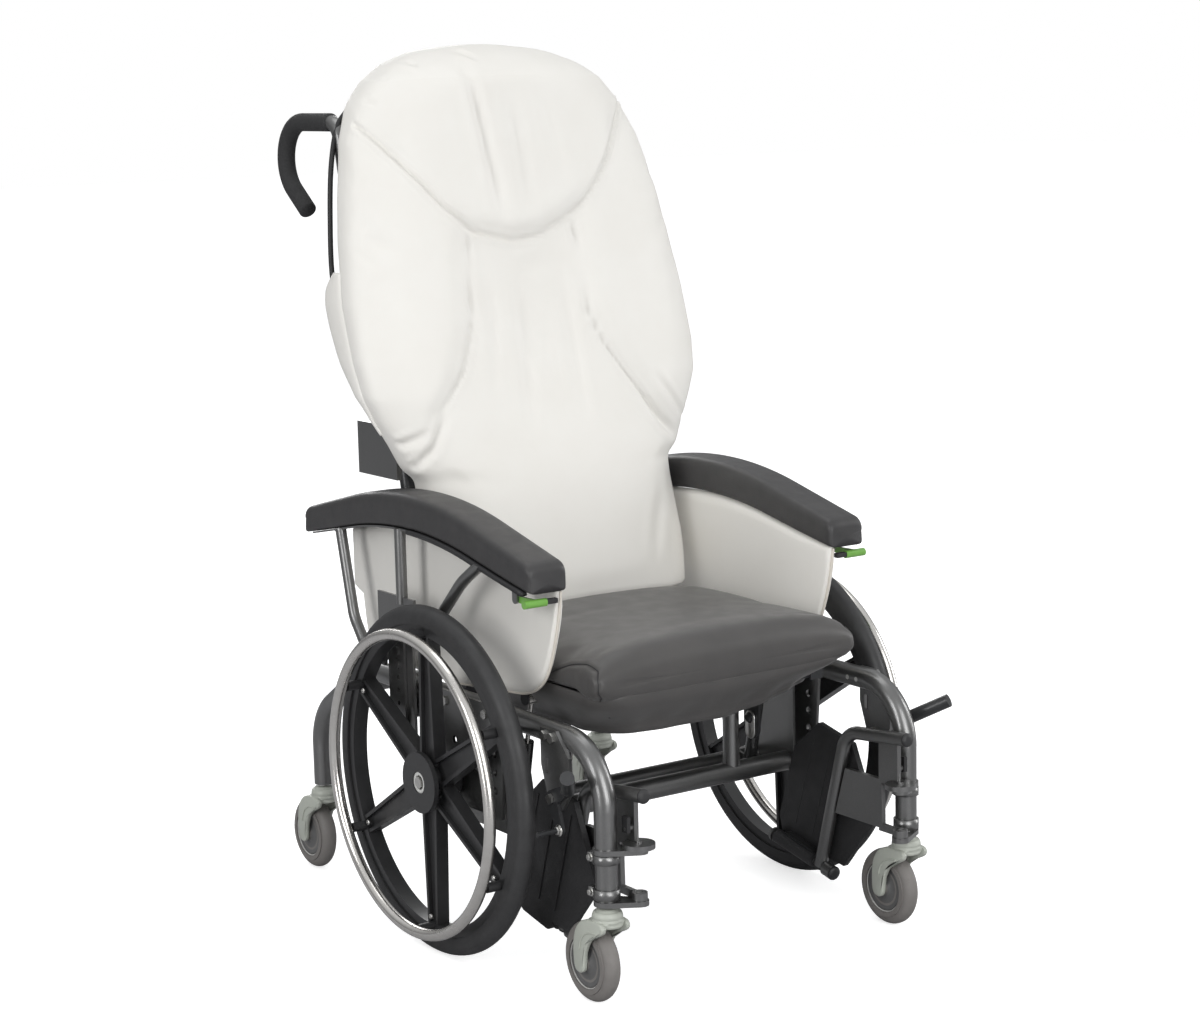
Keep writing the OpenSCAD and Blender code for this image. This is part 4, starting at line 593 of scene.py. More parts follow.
def back_ring(z, count=96):
    """One level of the back cover, as a closed ring from the left edge round the front."""
    half = table_value(BACK_HALF, z)
    edge = table_value(BACK_EDGE, z)
    depth = edge - back_front_y(z)
    top = ease(0, 0.07, BACK_HIGH - z) ** 0.5
    front = int(count * 0.72)
    ring = []
    for step in range(front + 1):
        angle = math.pi * step / front
        x = half * signed_power(math.cos(angle), 0.7)
        ahead = depth * (0.30 + 0.70 * top) + back_relief(x, z) * top
        ring.append(at_axle(x, edge - ahead * math.sin(angle) ** 0.6, z))
    rear = count - front
    for step in range(1, rear):
        angle = math.pi * step / rear
        bulge = 0.016 * math.sin(angle) ** 0.5 * (0.4 + 0.6 * top)
        ring.append(at_axle(-half * math.cos(angle), edge + bulge, z))
    return ring


def make_back_cover():
    """The cream cover of the back."""
    crown, body_rows, crown_rows = 0.06, 96, 14
    body = [BACK_LOW + (BACK_HIGH - crown - BACK_LOW) * i / body_rows for i in range(body_rows + 1)]
    top = [BACK_HIGH - crown * math.cos(math.pi / 2 * i / crown_rows) for i in range(1, crown_rows + 1)]
    cover = loft("back_cover_fabric", [back_ring(z) for z in body + top], "seat", "cream_vinyl")
    swell(cover, pressure=1.2, cap=0.007)
    refine(cover)
    folds = [
        (PILLOW_SEAM, 0.0050, 0.0038, 0.0),
        (WING_SEAMS[0], 0.0048, 0.0038, 0.12),
        (WING_SEAMS[1], 0.0048, 0.0038, 0.12),
        ([(-0.077, 1.426), (-0.066, 1.30), (-0.052, 1.13)], 0.0058, 0.010, 0.3),
        ([(-0.004, 1.402), (-0.003, 1.28), (0.0, 1.139)], 0.0052, 0.010, 0.3),
        ([(-0.022, 1.118), (-0.006, 1.095), (0.0, 1.058)], 0.0048, 0.006, 0.3),
        ([(-0.075, 1.448), (-0.052, 1.440), (-0.036, 1.428)], 0.0036, 0.005, 0.3),
        ([(-0.175, 1.436), (-0.160, 1.426), (-0.150, 1.420)], 0.0032, 0.005, 0.3),
        ([(-0.262, 1.372), (-0.250, 1.362), (-0.240, 1.358)], 0.0032, 0.005, 0.3),
        ([(0.06, 1.39), (0.075, 1.30), (0.085, 1.20)], 0.0016, 0.010, 0.35),
        ([(-0.024, 1.10), (-0.040, 0.95), (-0.062, 0.80)], 0.0036, 0.011, 0.3),
        ([(0.012, 1.11), (0.010, 0.99), (0.004, 0.88)], 0.0022, 0.010, 0.35),
        ([(0.045, 1.10), (0.055, 0.97), (0.054, 0.80)], 0.0034, 0.011, 0.3),
        ([(-0.100, 1.12), (-0.096, 1.00), (-0.120, 0.86)], 0.0022, 0.010, 0.35),
        ([(-0.339, 0.777), (-0.30, 0.795), (-0.245, 0.826)], 0.0044, 0.007, 0.3),
        ([(-0.262, 0.762), (-0.24, 0.80), (-0.215, 0.855)], 0.0034, 0.007, 0.3),
        ([(-0.285, 0.742), (-0.262, 0.775), (-0.24, 0.80)], 0.0034, 0.006, 0.3),
        ([(0.17, 0.86), (0.215, 0.80), (0.255, 0.765)], 0.0034, 0.008, 0.3),
        ([(0.20, 0.89), (0.25, 0.83), (0.29, 0.79)], 0.0028, 0.007, 0.3),
        ([(-0.20, 0.70), (-0.16, 0.63), (-0.13, 0.56)], 0.0020, 0.012, 0.35),
        ([(0.20, 0.70), (0.17, 0.63), (0.15, 0.56)], 0.0020, 0.012, 0.35),
    ]
    sharpness = 1.35
    folds = [(line, depth * sharpness, width, fade) for line, depth, width, fade in folds]
    crease(cover, folds, lambda co: Vector((co.x, co.z)), Vector((0, -1, 0)))
    keep_ahead_of(cover, "back_shell", 0.003)
    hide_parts("back_cover")


# Seat cushion: waterfall front, crowned top and a D-shaped panel sewn into each side
SEAT_HALF, SEAT_FRONT, SEAT_REAR = 0.260, -0.326, 0.078
SEAT_LOW, SEAT_HIGH = 0.4512, 0.531


def seat_ring(y, count=72):
    """One cross section of the seat cushion."""
    front_round, rear_round = 0.060, 0.02
    front = min(1.0, (y - SEAT_FRONT) / front_round)
    rise = max(0.0, 1 - (1 - front) ** 2.5) ** 0.4
    rear = min(1.0, (SEAT_REAR - y) / rear_round)
    fall = math.sqrt(max(0.0, 1 - (1 - rear) ** 2))
    share = (0.10 + 0.90 * rise) * (0.80 + 0.20 * fall)
    low = SEAT_LOW - 0.014 * (1 - ease(0.045, 0.085, y - SEAT_FRONT))
    middle = SEAT_LOW + 0.026
    half = SEAT_HALF - 0.020 * (1 - rise) ** 1.5 - 0.010 * (1 - fall)
    ring = []
    for step in range(count):
        angle = 2 * math.pi * step / count
        across = signed_power(math.cos(angle), 0.36)
        height = signed_power(math.sin(angle), 0.58)
        crown = 0.013 * math.cos(math.pi / 2 * across) * rise if height > 0 else 0.0
        tall = (SEAT_HIGH - 0.014 - middle) if height > 0 else (middle - low)
        ring.append(at_axle(half * across, y, middle + tall * share * height + crown))
    return ring


def make_seat_cushion():
    """The grey seat cushion with its seams, each traced by a dark line of painted shade."""
    rows = 56
    places = [SEAT_FRONT + (SEAT_REAR - SEAT_FRONT) * (i / rows) ** 1.35 for i in range(rows + 1)]
    cushion = loft("seat_cushion_vinyl", [seat_ring(y) for y in places], "seat", "grey_vinyl")
    swell(cushion, pressure=1.5, cap=0.005)
    refine(cushion)
    side_seam = [(y + AXLE_Y, z) for y, z in (
        (-0.150, 0.458), (-0.19, 0.480), (-0.235, 0.499), (-0.275, 0.506), (-0.303, 0.500),
        (-0.315, 0.482), (-0.311, 0.460), (-0.290, 0.447))]
    for way in (-1, 1):
        crease(cushion, [(side_seam, 0.0014, 0.0024, 0.0)], lambda co: Vector((co.y, co.z)),
               Vector((way, 0, 0)))
    top_folds = [
        ([(-0.245, -0.285), (-0.22, -0.27), (-0.19, -0.262)], 0.0012, 0.008, 0.35),
        ([(0.245, -0.28), (0.21, -0.268), (0.17, -0.265)], 0.0012, 0.008, 0.35),
        ([(-0.12, -0.235), (0.0, -0.225), (0.13, -0.232)], 0.0008, 0.016, 0.35),
        ([(-0.22, -0.06), (-0.10, -0.045), (0.02, -0.05)], 0.0010, 0.014, 0.35),
    ]
    top_folds = [([(x, y + AXLE_Y) for x, y in line], *press) for line, *press in top_folds]
    crease(cushion, top_folds, lambda co: Vector((co.x, co.y)), Vector((0, 0, 1)))
    # A thin near-black line laid just outside each pressed side seam is painted shade: it stands in for the
    # shadow in the seam's groove.
    surface = surface_of(cushion.data)
    for side, way in SIDES:
        seam = []
        for p in curve_points([(0, y, z) for y, z in side_seam], 6):
            hit = surface.ray_cast(Vector((way, p.y, p.z)), Vector((-way, 0, 0)))[0]
            if hit:
                seam.append(hit + Vector((way * 0.0002, 0, 0)))
        sweep("seat_seam_painted_shade_" + side, seam, 0.0010, "seat", "shell_plastic", sides=8, round_end=0.001)
    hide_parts("seat_cushion")


# Skirt: one strip of cloth under the cushion, round the front and both sides
SKIRT_TOP = 0.4600


def skirt_line(share, drop):
    """Point of the skirt at a share of its length and of its drop, with its folds."""
    half, front, rear = 0.2515, -0.3165, 0.015
    corner = 0.052 + 0.055 * ease(0.1, 1.0, drop)
    side_run = rear - front - corner
    bend_run = math.pi / 2 * corner
    front_run = 2 * (half - corner)
    total = 2 * side_run + 2 * bend_run + front_run
    s = share * total
    if s < side_run:
        x, y, nx, ny = half, rear - s, 1.0, 0.0
    elif s < side_run + bend_run:
        a = (s - side_run) / corner
        nx, ny = math.cos(a), -math.sin(a)
        x, y = half - corner + corner * nx, front + corner + corner * ny
    elif s < side_run + bend_run + front_run:
        x, y, nx, ny = half - corner - (s - side_run - bend_run), front, 0.0, -1.0
    elif s < side_run + 2 * bend_run + front_run:
        a = (s - side_run - bend_run - front_run) / corner
        nx, ny = -math.sin(a), -math.cos(a)
        x, y = -half + corner + corner * nx, front + corner + corner * ny
    else:
        x, y, nx, ny = -half, front + corner + (s - side_run - 2 * bend_run - front_run), -1.0, 0.0
    ripple = math.sin(61 * s) + 0.6 * math.sin(97 * s + 1.3) + 0.4 * math.sin(23 * s + 0.4)
    gather = 1.0 + 2.2 * math.exp(-((x - 0.14) / 0.07) ** 2)
    out = 0.0012 * ripple * gather * ease(0.3, 0.75, drop) - 0.038 * ease(0.15, 1.0, drop)
    depth = 0.076 - 0.034 * ease(0.0, 0.25, x) - 0.002 * math.sin(9 * s)
    return at_axle(x + nx * out, y + ny * out, SKIRT_TOP - depth * drop)


def make_skirt():
    """The hanging skirt, as a thin sheet of cloth."""
    columns, rows, thickness = 420, 10, 0.0016
    outer = [[skirt_line(i / columns, j / rows) for i in range(columns + 1)] for j in range(rows + 1)]
    centre = at_axle(0, -0.1, 0)
    points = []
    for layer in (0.0, thickness):
        for line in outer:
            for p in line:
                inward = Vector((centre.x - p.x, centre.y - p.y, 0)).normalized()
                points.append(p + inward * layer)
    skirt = make_object("seat_skirt_cloth", points, two_sided(rows, columns), "seat", "grey_vinyl")
    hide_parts("seat_skirt")


def make_seat_pan():
    """The pan under the cushion, with rounded front corners."""
    low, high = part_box("seat_pan")
    front_corner, rear_corner, edge = 0.056, 0.01, 0.0015
    steps = 12
    rings = []
    for z, cut in ((low.z, edge), (low.z + edge, 0.0), (high.z - edge, 0.0), (high.z, edge)):
        ring = []
        for x, y, start, radius in ((low.x, low.y, 180, front_corner), (high.x, low.y, 270, front_corner),
                                    (high.x, high.y, 0, rear_corner), (low.x, high.y, 90, rear_corner)):
            middle_x = x + radius if x < 0 else x - radius
            middle_y = y + radius if y == low.y else y - radius
            for i in range(steps + 1):
                turn = math.radians(start + 90 * i / steps)
                ring.append((middle_x + (radius - cut) * math.cos(turn),
                             middle_y + (radius - cut) * math.sin(turn), z))
        rings.append(ring)
    pan = loft("seat_pan_tray", rings, "seat", "shell_plastic")
    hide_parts("seat_pan")


# Arm pads, side panels and grips
PAD_FRONT, PAD_REAR, PAD_CREST_Y, PAD_CREST_Z, PAD_R = -0.250, 0.465, 0.115, 0.732, 0.80
PAD_BEND = math.radians(14)


def pad_top(y):
    """Height of the arm pad's top."""
    reach = abs(y - PAD_CREST_Y)
    turn = PAD_R * math.sin(PAD_BEND)
    if reach < turn:
        return PAD_CREST_Z - (PAD_R - math.sqrt(PAD_R * PAD_R - reach * reach))
    return PAD_CREST_Z - PAD_R * (1 - math.cos(PAD_BEND)) - (reach - turn) * math.tan(PAD_BEND)


def pad_bottom(y):
    """Height of the arm pad's underside."""
    half = (PAD_REAR - PAD_FRONT) / 2
    return pad_top(y) - 0.045 - 0.012 * (1 - ((y - PAD_CREST_Y) / half) ** 2)


def pad_ring(y, sign, share, count=48):
    """One cross section of an arm pad, with its soft top and the moulded line on its outer shoulder."""
    inner, outer = 0.260, 0.332
    groove_depth, groove_width = 0.0014, 0.0022
    middle_x = (inner + outer) / 2
    half = (outer - inner) / 2 * (0.86 + 0.14 * share)
    top, bottom = pad_top(y), pad_bottom(y) + 0.0004
    rise = (top - bottom) * (0.72 + 0.28 * share)
    middle_z = bottom + rise / 2
    ring = []
    for step in range(count):
        angle = 2 * math.pi * (step + 0.5) / count
        across, height = math.cos(angle), math.sin(angle)
        side_power, top_power = (0.34, 0.5) if height > 0 else (0.2, 0.22)
        x = half * signed_power(across, side_power)
        z = rise / 2 * signed_power(height, top_power)
        if x > 0:
            x -= groove_depth * math.exp(-((z - rise * 0.10) / groove_width) ** 2)
        ring.append(at_axle(sign * (middle_x + x), y, middle_z + z))
    return ring


def make_arm_pad(side, sign):
    """A long foam arm pad, bent down towards both ends."""
    end, end_rows, body_rows = 0.016, 6, 70
    rounding = [end * (1 - math.cos(math.pi / 2 * i / end_rows)) for i in range(end_rows)]
    run = PAD_REAR - PAD_FRONT - 2 * end
    body = [PAD_FRONT + end + run * i / body_rows for i in range(body_rows + 1)]
    rings = []
    for y in [PAD_FRONT + r for r in rounding] + body + [PAD_REAR - r for r in reversed(rounding)]:
        reach = min(y - PAD_FRONT, PAD_REAR - y) / end
        share = math.sqrt(max(0.0, 1 - (1 - min(1.0, reach)) ** 2))
        rings.append(pad_ring(y, sign, share))
    pad = loft("arm_pad_foam_" + side, rings, "arm_" + side, "pad_foam")
    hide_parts("arm_pad_" + side)


PANEL_FRONT = [(-0.244, 0.618), (-0.235, 0.570), (-0.222, 0.526), (-0.203, 0.482), (-0.176, 0.455),
               (-0.140, 0.440), (-0.10, 0.4345), (-0.04, 0.4300), (0.06, 0.4195), (0.128, 0.4195),
               (0.134, 0.4325), (0.176, 0.4325), (0.182, 0.4195), (0.205, 0.4195), (0.27, 0.426),
               (0.326, 0.433), (0.347, 0.445), (0.353, 0.47), (0.358, 0.515), (0.372, 0.5235)]


def make_side_panel(side, sign):
    """The thin padded panel between the arm and the rail."""
    low_x, high_x = 0.2625, 0.2775
    front, rear, over, rounding = -0.243, 0.397, 0.0005, 0.012
    bottom = [(p.y, p.z) for p in curve_points([(0, y, z) for y, z in PANEL_FRONT], 4)] + [(rear, 0.5345)]
    columns, rows = 96, 24
    strips = []
    for i in range(columns + 1):
        y = front + (rear - front) * (i / columns) ** 1.1
        top = pad_bottom(y) - 0.0006
        strips.append((y, min(table_value(bottom, y), top - 0.002), top))
    points = []
    for way in (1, -1):
        for y, low, top in strips:
            for j in range(rows + 1):
                v = j / rows
                edge = min(v * (top - low), (1 - v) * (top - low), y - front + over, rear + over - y)
                puff = math.sqrt(max(0.0, 1 - (1 - min(1.0, max(0.0, edge) / rounding)) ** 2))
                x = (low_x + high_x) / 2 + way * (high_x - low_x) / 2 * (0.12 + 0.88 * puff)
                points.append(at_axle(sign * x, y, low + (top - low) * v))
    panel = make_object("side_panel_pad_" + side, points, two_sided(columns, rows), "arm_" + side,
                        "cream_vinyl")
    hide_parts("side_panel_" + side)


HANDLE_Z, HANDLE_START_Y, HANDLE_BEND_Y = 1.328, 0.424, 0.524
HANDLE_BEND_R, HANDLE_TURN, HANDLE_TAIL = 0.065, 143, 0.056


def handle_line():
    """Centre line of a push handle's grip: a level run, a bend and a short tail."""
    run_steps, bend_steps, tail_steps = 8, 24, 5
    line = [(HANDLE_START_Y + (HANDLE_BEND_Y - HANDLE_START_Y) * i / run_steps, HANDLE_Z)
            for i in range(run_steps)]
    for i in range(bend_steps + 1):
        turn = math.radians(HANDLE_TURN * i / bend_steps)
        line.append((HANDLE_BEND_Y + HANDLE_BEND_R * math.sin(turn),
                     HANDLE_Z - HANDLE_BEND_R * (1 - math.cos(turn))))
    y, z = line[-1]
    for i in range(1, tail_steps + 1):
        run = HANDLE_TAIL * i / tail_steps
        line.append((y + run * math.cos(turn), z - run * math.sin(turn)))
    return line


def make_grip(side, sign):
    """Foam grip on a push handle."""
    path = [at_axle(sign * 0.270, y, z) for y, z in handle_line()]
    grip = sweep("push_grip_foam_" + side, path, 0.0155, "seat", "grip_foam", sides=28, round_end=0.006)
    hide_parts("push_grip_" + side)


make_back_cover()
make_seat_cushion()
make_seat_pan()
make_skirt()
for side_name, side_sign in SIDES:
    make_arm_pad(side_name, side_sign)
    make_side_panel(side_name, side_sign)
    make_grip(side_name, side_sign)


# Fittings: caps, bolts, clamps, strips and piping on the solids
WHEEL_X, AXLE_Z = 0.362, 0.285
STEM_X, CASTER_Z, CASTER_TRAIL = 0.298, 0.0635, 0.042
STEMS = (("front", -0.392), ("rear", 0.492))


def around(axis):
    """The axis as a unit vector, and two more that span the plane across it."""
    axis = Vector(axis).normalized()
    side = axis.orthogonal().normalized()
    return axis, side, axis.cross(side)


def turned(name, centre, axis, profile, body, slot, sides=40, smooth=True):
    """A turned piece: its profile is (distance along the axis, radius) from one end to the other."""
    axis, side, other = around(axis)
    smallest = 0.0002
    rings = [circle(Vector(centre) + axis * along, side, other, max(radius, smallest), sides)
             for along, radius in profile]
    shade(loft(name, rings, body, slot).data, smooth)


def ring_piece(name, centre, axis, radius, profile, body, slot, sides=48):
    """A ring round an axis: its section is (distance along the axis, distance from radius) points."""
    axis, side, other = around(axis)
    rings = []
    for way in circle(Vector(), side, other, 1.0, sides):
        rings.append([Vector(centre) + way * (radius + out) + axis * along for along, out in profile])
    loft(name, rings, body, slot, closed=True)


def hex_bolt(name, centre, axis, across, body, slot="zinc"):
    """A hexagonal head on a washer, with a chamfered top."""
    head = across / 2
    washer = [(0, head * 1.35), (0.001, head * 1.35), (0.0014, head * 1.25), (0.0015, 0.001)]
    turned(name + "_washer", centre, axis, washer, body, slot, sides=28)
    profile = [(0.0012, head), (0.0045, head), (0.0055, head * 0.86), (0.0057, head * 0.4),
               (0.0052, 0.0005)]
    turned(name, centre, axis, profile, body, slot, sides=6, smooth=False)


def tube_cap(name, centre, axis, radius, body):
    """A black plastic cap pressed into a tube's end."""
    profile = [(0.0, radius * 1.01), (0.0022, radius * 1.03), (0.0045, radius * 0.95),
               (0.006, radius * 0.75), (0.0068, radius * 0.4), (0.007, 0.0003)]
    turned(name, centre, axis, profile, body, "footplate_plastic")


def bar(name, centre, size, turn, body, slot, bevel=0.0012):
    """A block with bevelled edges, turned by a matrix."""
    mesh = bpy.data.meshes.new(name)
    bm = bmesh.new()
    bmesh.ops.create_cube(bm, size=1.0)
    bmesh.ops.scale(bm, vec=Vector(size), verts=bm.verts)
    bmesh.ops.bevel(bm, geom=list(bm.edges), offset=bevel, segments=2, affect="EDGES", profile=0.6)
    bmesh.ops.transform(bm, matrix=turn.to_4x4() if turn else Matrix.Identity(4), verts=bm.verts)
    bmesh.ops.translate(bm, vec=Vector(centre), verts=bm.verts)
    bm.to_mesh(mesh)
    bm.free()
    place_mesh(name, mesh, body, slot)


def shrunk(line, cut):
    """A closed outline of 2-D points moved inwards by a small cut. It runs anticlockwise."""
    result = []
    for i, here in enumerate(line):
        run = (line[(i + 1) % len(line)] - line[i - 1]).normalized()
        result.append(here + Vector((-run.y, run.x)) * cut)
    return result


def slab(outline, sections):
    """Rings of a plate across X with a moulded edge: sections are (x, cut of the outline)."""
    return [[at_axle(x, p.x, p.y) for p in shrunk(outline, cut)] for x, cut in sections]


def strip_along(name, points, section, body, slot):
    """A flat strip that follows a line in a plane across X: its section is (x, z) offsets."""
    loft(name, [[p + Vector((x, 0, z)) for x, z in section] for p in points], body, slot)


def make_arm_fittings(side, sign):
    """Black edging under the pad's front half, and the dark bar from the release knob."""
    body = "arm_" + side
    start, run, steps = -0.232, 0.34, 30
    places = [start + run * i / steps for i in range(steps + 1)]
    line = [at_axle(sign * 0.3335, y, pad_bottom(y) - 0.001) for y in places]
    section = [(-0.010, 0.0015), (0.002, 0.0015), (0.0028, 0.0), (0.002, -0.0055), (-0.002, -0.0065),
               (-0.010, -0.0055)]
    strip_along("arm_edging_" + side, line, [(sign * x, z) for x, z in section], body, "footplate_plastic")
    near = 0.005
    for i, y in enumerate((-0.15, 0.03, 0.25, 0.40)):
        slope = (pad_bottom(y + near) - pad_bottom(y - near)) / (2 * near)
        hex_bolt(f"arm_rail_bolt_{side}_{i}", at_axle(sign * 0.300, y, pad_bottom(y) - 0.003),
                 Vector((0, slope, -1)), 0.009, body)
    bar("arm_release_bar_" + side, at_axle(sign * 0.288, -0.243, 0.6065), (0.022, 0.010, 0.008), None,
        "arm_release_" + side, "footplate_plastic")


def make_front_leg_fittings(side, sign):
    """Clamp round the front leg with its bolts, where the hanger hooks on."""
    x, y = sign * STEM_X, STEMS[0][1]
    for low, high in ((0.172, 0.190), (0.228, 0.2435)):
        section = [(low, 0.0), (low + 0.001, 0.0036), (high - 0.001, 0.0036), (high, 0.0)]
        ring_piece(f"leg_clamp_{side}_{int(low * 1000)}", at_axle(x, y, 0), (0, 0, 1), 0.0172, section,
                   "base", "frame_paint")
    outward = Vector((sign * 0.35, 0.94, 0))
    for z in (0.181, 0.2355):
        spot = at_axle(x, y, z) + outward.normalized() * 0.0225
        turn = Matrix.Rotation(-math.atan2(outward.x, outward.y), 3, "Z")
        bar(f"leg_clamp_ear_{side}_{int(z * 1000)}", spot, (0.012, 0.016, 0.0155), turn, "base",
            "frame_paint")
        hex_bolt(f"leg_clamp_bolt_{side}_{int(z * 1000)}", spot + Vector((sign * 0.0062, 0, 0)),
                 (sign, 0, 0), 0.010, "base")


def make_hanger_fittings(side, sign):
    """Caps on both ends of the hanger's tube and on the footplate's pivot."""
    body = "footrest_" + side
    x = sign * 0.260
    tube_cap("hanger_cap_" + side, at_axle(x, -0.437, 0.335), (0, -0.149, 0.015), 0.011, body)
    tube_cap("flip_cap_" + side, at_axle(x, -0.250, 0.068), (0, -0.158, -0.032), 0.012, body)
    tube_cap("hanger_foot_cap_" + side, at_axle(x, -0.218, 0.074), (0, 0.07, -0.246), 0.0108, body)


def make_footplate_ribs(side, sign):
    """Three slanted ribs on each face of the footplate."""
    for i in range(3):
        low = (-0.135 - 0.045 * i, 0.125 - 0.008 * i)
        for out in (0.2738, 0.2842):
            ends = [at_axle(sign * out, low[0] - 0.053 * t, low[1] + 0.164 * t) for t in (0, 0.5, 1)]
            sweep(f"footplate_rib_{side}_{i}_{int(out * 1000)}", ends, 0.0014, "footplate_" + side,
                  "footplate_plastic", sides=8, round_end=0.001)


def make_link_plate(side, sign):
    """Zinc plate with its black bolt on the inner face of the seat's link."""
    inner, y, low, high, radius, steps = 0.197, -0.112, 0.296, 0.320, 0.0125, 12
    outline = []
    for z, start in ((low, math.pi), (high, 0.0)):
        turns = [start + math.pi * i / steps for i in range(steps + 1)]
        outline += [Vector((y + radius * math.cos(t), z + radius * math.sin(t))) for t in turns]
    sections = [(sign * inner, 0.0), (sign * (inner - 0.0022), 0.0), (sign * (inner - 0.003), 0.0008)]
    loft("link_plate_" + side, slab(outline, sections), "seat", "zinc")
    hex_bolt("link_bolt_" + side, at_axle(sign * (inner - 0.003), y, high), (-sign, 0, 0), 0.014, "seat",
             slot="dark_steel")


def make_lock_fittings(side, sign):
    """Zinc nut where the shoe's rod leaves the wheel lock's lever."""
    spot = at_axle(sign * 0.3283, -0.311, 0.266)
    hex_bolt("lock_shoe_nut_" + side, spot, (sign, 0, 0), 0.014, "lock_" + side)


def make_wheel_fittings(side, sign):
    """Pale ring in the hub cap's well, and screws on the hand rim's standoffs."""
    body = "drive_" + side
    cap_reach, well = 0.029, 0.005
    centre = at_axle(sign * (WHEEL_X + cap_reach - well), 0, AXLE_Z)
    section = [(0.0, -0.003), (0.0035, -0.0028), (0.0045, 0.0), (0.0035, 0.003), (0.0, 0.0032)]
    ring_piece("hub_ring_" + side, centre, (sign, 0, 0), 0.0145, section, body, "white_ring")
    screws, screw_x, screw_radius = 6, 0.3745, 0.2265
    for i in range(screws):
        turn = 2 * math.pi * i / screws
        up, along = screw_radius * math.cos(turn), screw_radius * math.sin(turn)
        spot = at_axle(sign * screw_x, along, AXLE_Z + up)
        turned(f"rim_screw_{side}_{i}", spot, (sign, 0, 0),
               [(0, 0.0045), (0.0025, 0.0045), (0.0038, 0.0034), (0.004, 0.0012), (0.0028, 0.0003)],
               body, "zinc", sides=24)


# Moulded caster fork, laid out from its stem: outline and rib of a cheek as (y, z), levels of the neck as
# (z, radius), levels of the crown as (z, half width, half length, middle y), and sections of a cheek as
# (x, cut of its outline)
FORK_EDGE = [(-0.0235, 0.1340), (-0.0215, 0.1270), (-0.0120, 0.1205), (0.0040, 0.1130), (0.0160, 0.1030),
             (0.0240, 0.0900), (0.0285, 0.0760), (0.0292, 0.0620), (0.0315, 0.0550), (0.0370, 0.0508),
             (0.0430, 0.0500), (0.0500, 0.0522), (0.0545, 0.0580), (0.0565, 0.0680), (0.0572, 0.0850),
             (0.0560, 0.1000), (0.0510, 0.1160), (0.0420, 0.1285), (0.0300, 0.1365), (0.0160, 0.1400),
             (-0.0050, 0.1410), (-0.0180, 0.1395)]
FORK_RIB = [(-0.004, 0.1235), (0.012, 0.1210), (0.026, 0.1135), (0.0345, 0.1020), (0.0385, 0.0890)]
FORK_NECK = [(0.130, 0.020), (0.131, 0.0236), (0.1355, 0.0246), (0.1375, 0.0228), (0.1385, 0.0244),
             (0.1425, 0.0244), (0.144, 0.0226), (0.1452, 0.0240), (0.1490, 0.0236), (0.1530, 0.0220),
             (0.1545, 0.0200), (0.1545, 0.0165), (0.1575, 0.0165)]
FORK_CROWN = [(0.1290, 0.0225, 0.0200, 0.006), (0.1302, 0.0256, 0.0240, 0.006),
              (0.1360, 0.0262, 0.0250, 0.005), (0.1400, 0.0250, 0.0238, 0.002)]
FORK_CHEEK = [(0.0190, 0.0006), (0.0196, 0.0), (0.0246, 0.0), (0.0260, 0.0010), (0.0268, 0.0030)]


def make_fork(end, side, sign, y):
    """The moulded fork of a caster: two swept cheeks, a crown over the wheel and a stepped neck."""
    x = sign * STEM_X
    closed_edge = [(0, *p) for p in FORK_EDGE + FORK_EDGE[:1]]
    outline = [Vector((p.y + y, p.z)) for p in curve_points(closed_edge, 4)[:-1]]
    skins = [skin(slab(outline, [(x + way * out, cut) for out, cut in FORK_CHEEK])) for way in (-1, 1)]
    rings = []
    sides = 40
    for z, half_x, half_y, middle_y in FORK_CROWN:
        turns = [2 * math.pi * k / sides for k in range(sides)]
        rings.append([at_axle(x + half_x * signed_power(math.cos(t), 0.55),
                              y + middle_y + half_y * signed_power(math.sin(t), 0.7), z) for t in turns])
    skins.append(skin(rings))
    along, across = Vector((1, 0, 0)), Vector((0, 1, 0))
    skins.append(skin([circle(at_axle(x, y, z), along, across, radius, 56) for z, radius in FORK_NECK]))
    fork = joined(f"fork_moulding_{end}_{side}", skins, f"caster_{end}_{side}", "caster_fork")
    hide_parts(f"caster_fork_{end}_{side}")


def make_caster_fittings(end, side, sign, y):
    """A rib on each cheek of the fork, and a hub disc with a pale line on each face of the wheel."""
    fork = f"caster_{end}_{side}"
    roller = f"caster_roller_{end}_{side}"
    x = sign * STEM_X
    axle = at_axle(x, y + CASTER_TRAIL, CASTER_Z)
    for way in (-1, 1):
        face = [(0.0095, 0.0395), (0.0125, 0.0392), (0.0135, 0.0375), (0.0125, 0.0350), (0.0118, 0.030),
                (0.0128, 0.018), (0.0150, 0.0150), (0.0160, 0.0120)]
        turned(f"caster_face_{end}_{side}_{way}", axle, (way, 0, 0), face, roller, "caster_hub", sides=56)
        ring_piece(f"caster_line_{end}_{side}_{way}", axle, (way, 0, 0), 0.0408,
                   [(0.0118, -0.0007), (0.0137, -0.0005), (0.0137, 0.0006), (0.0118, 0.0009)], roller,
                   "white_ring")
        rib = [at_axle(x + way * 0.0272, y + across, z) for across, z in FORK_RIB]
        sweep(f"fork_rib_{end}_{side}_{way}", curve_points(rib, 6), 0.0013, fork, "caster_fork", sides=10,
              round_end=0.001)


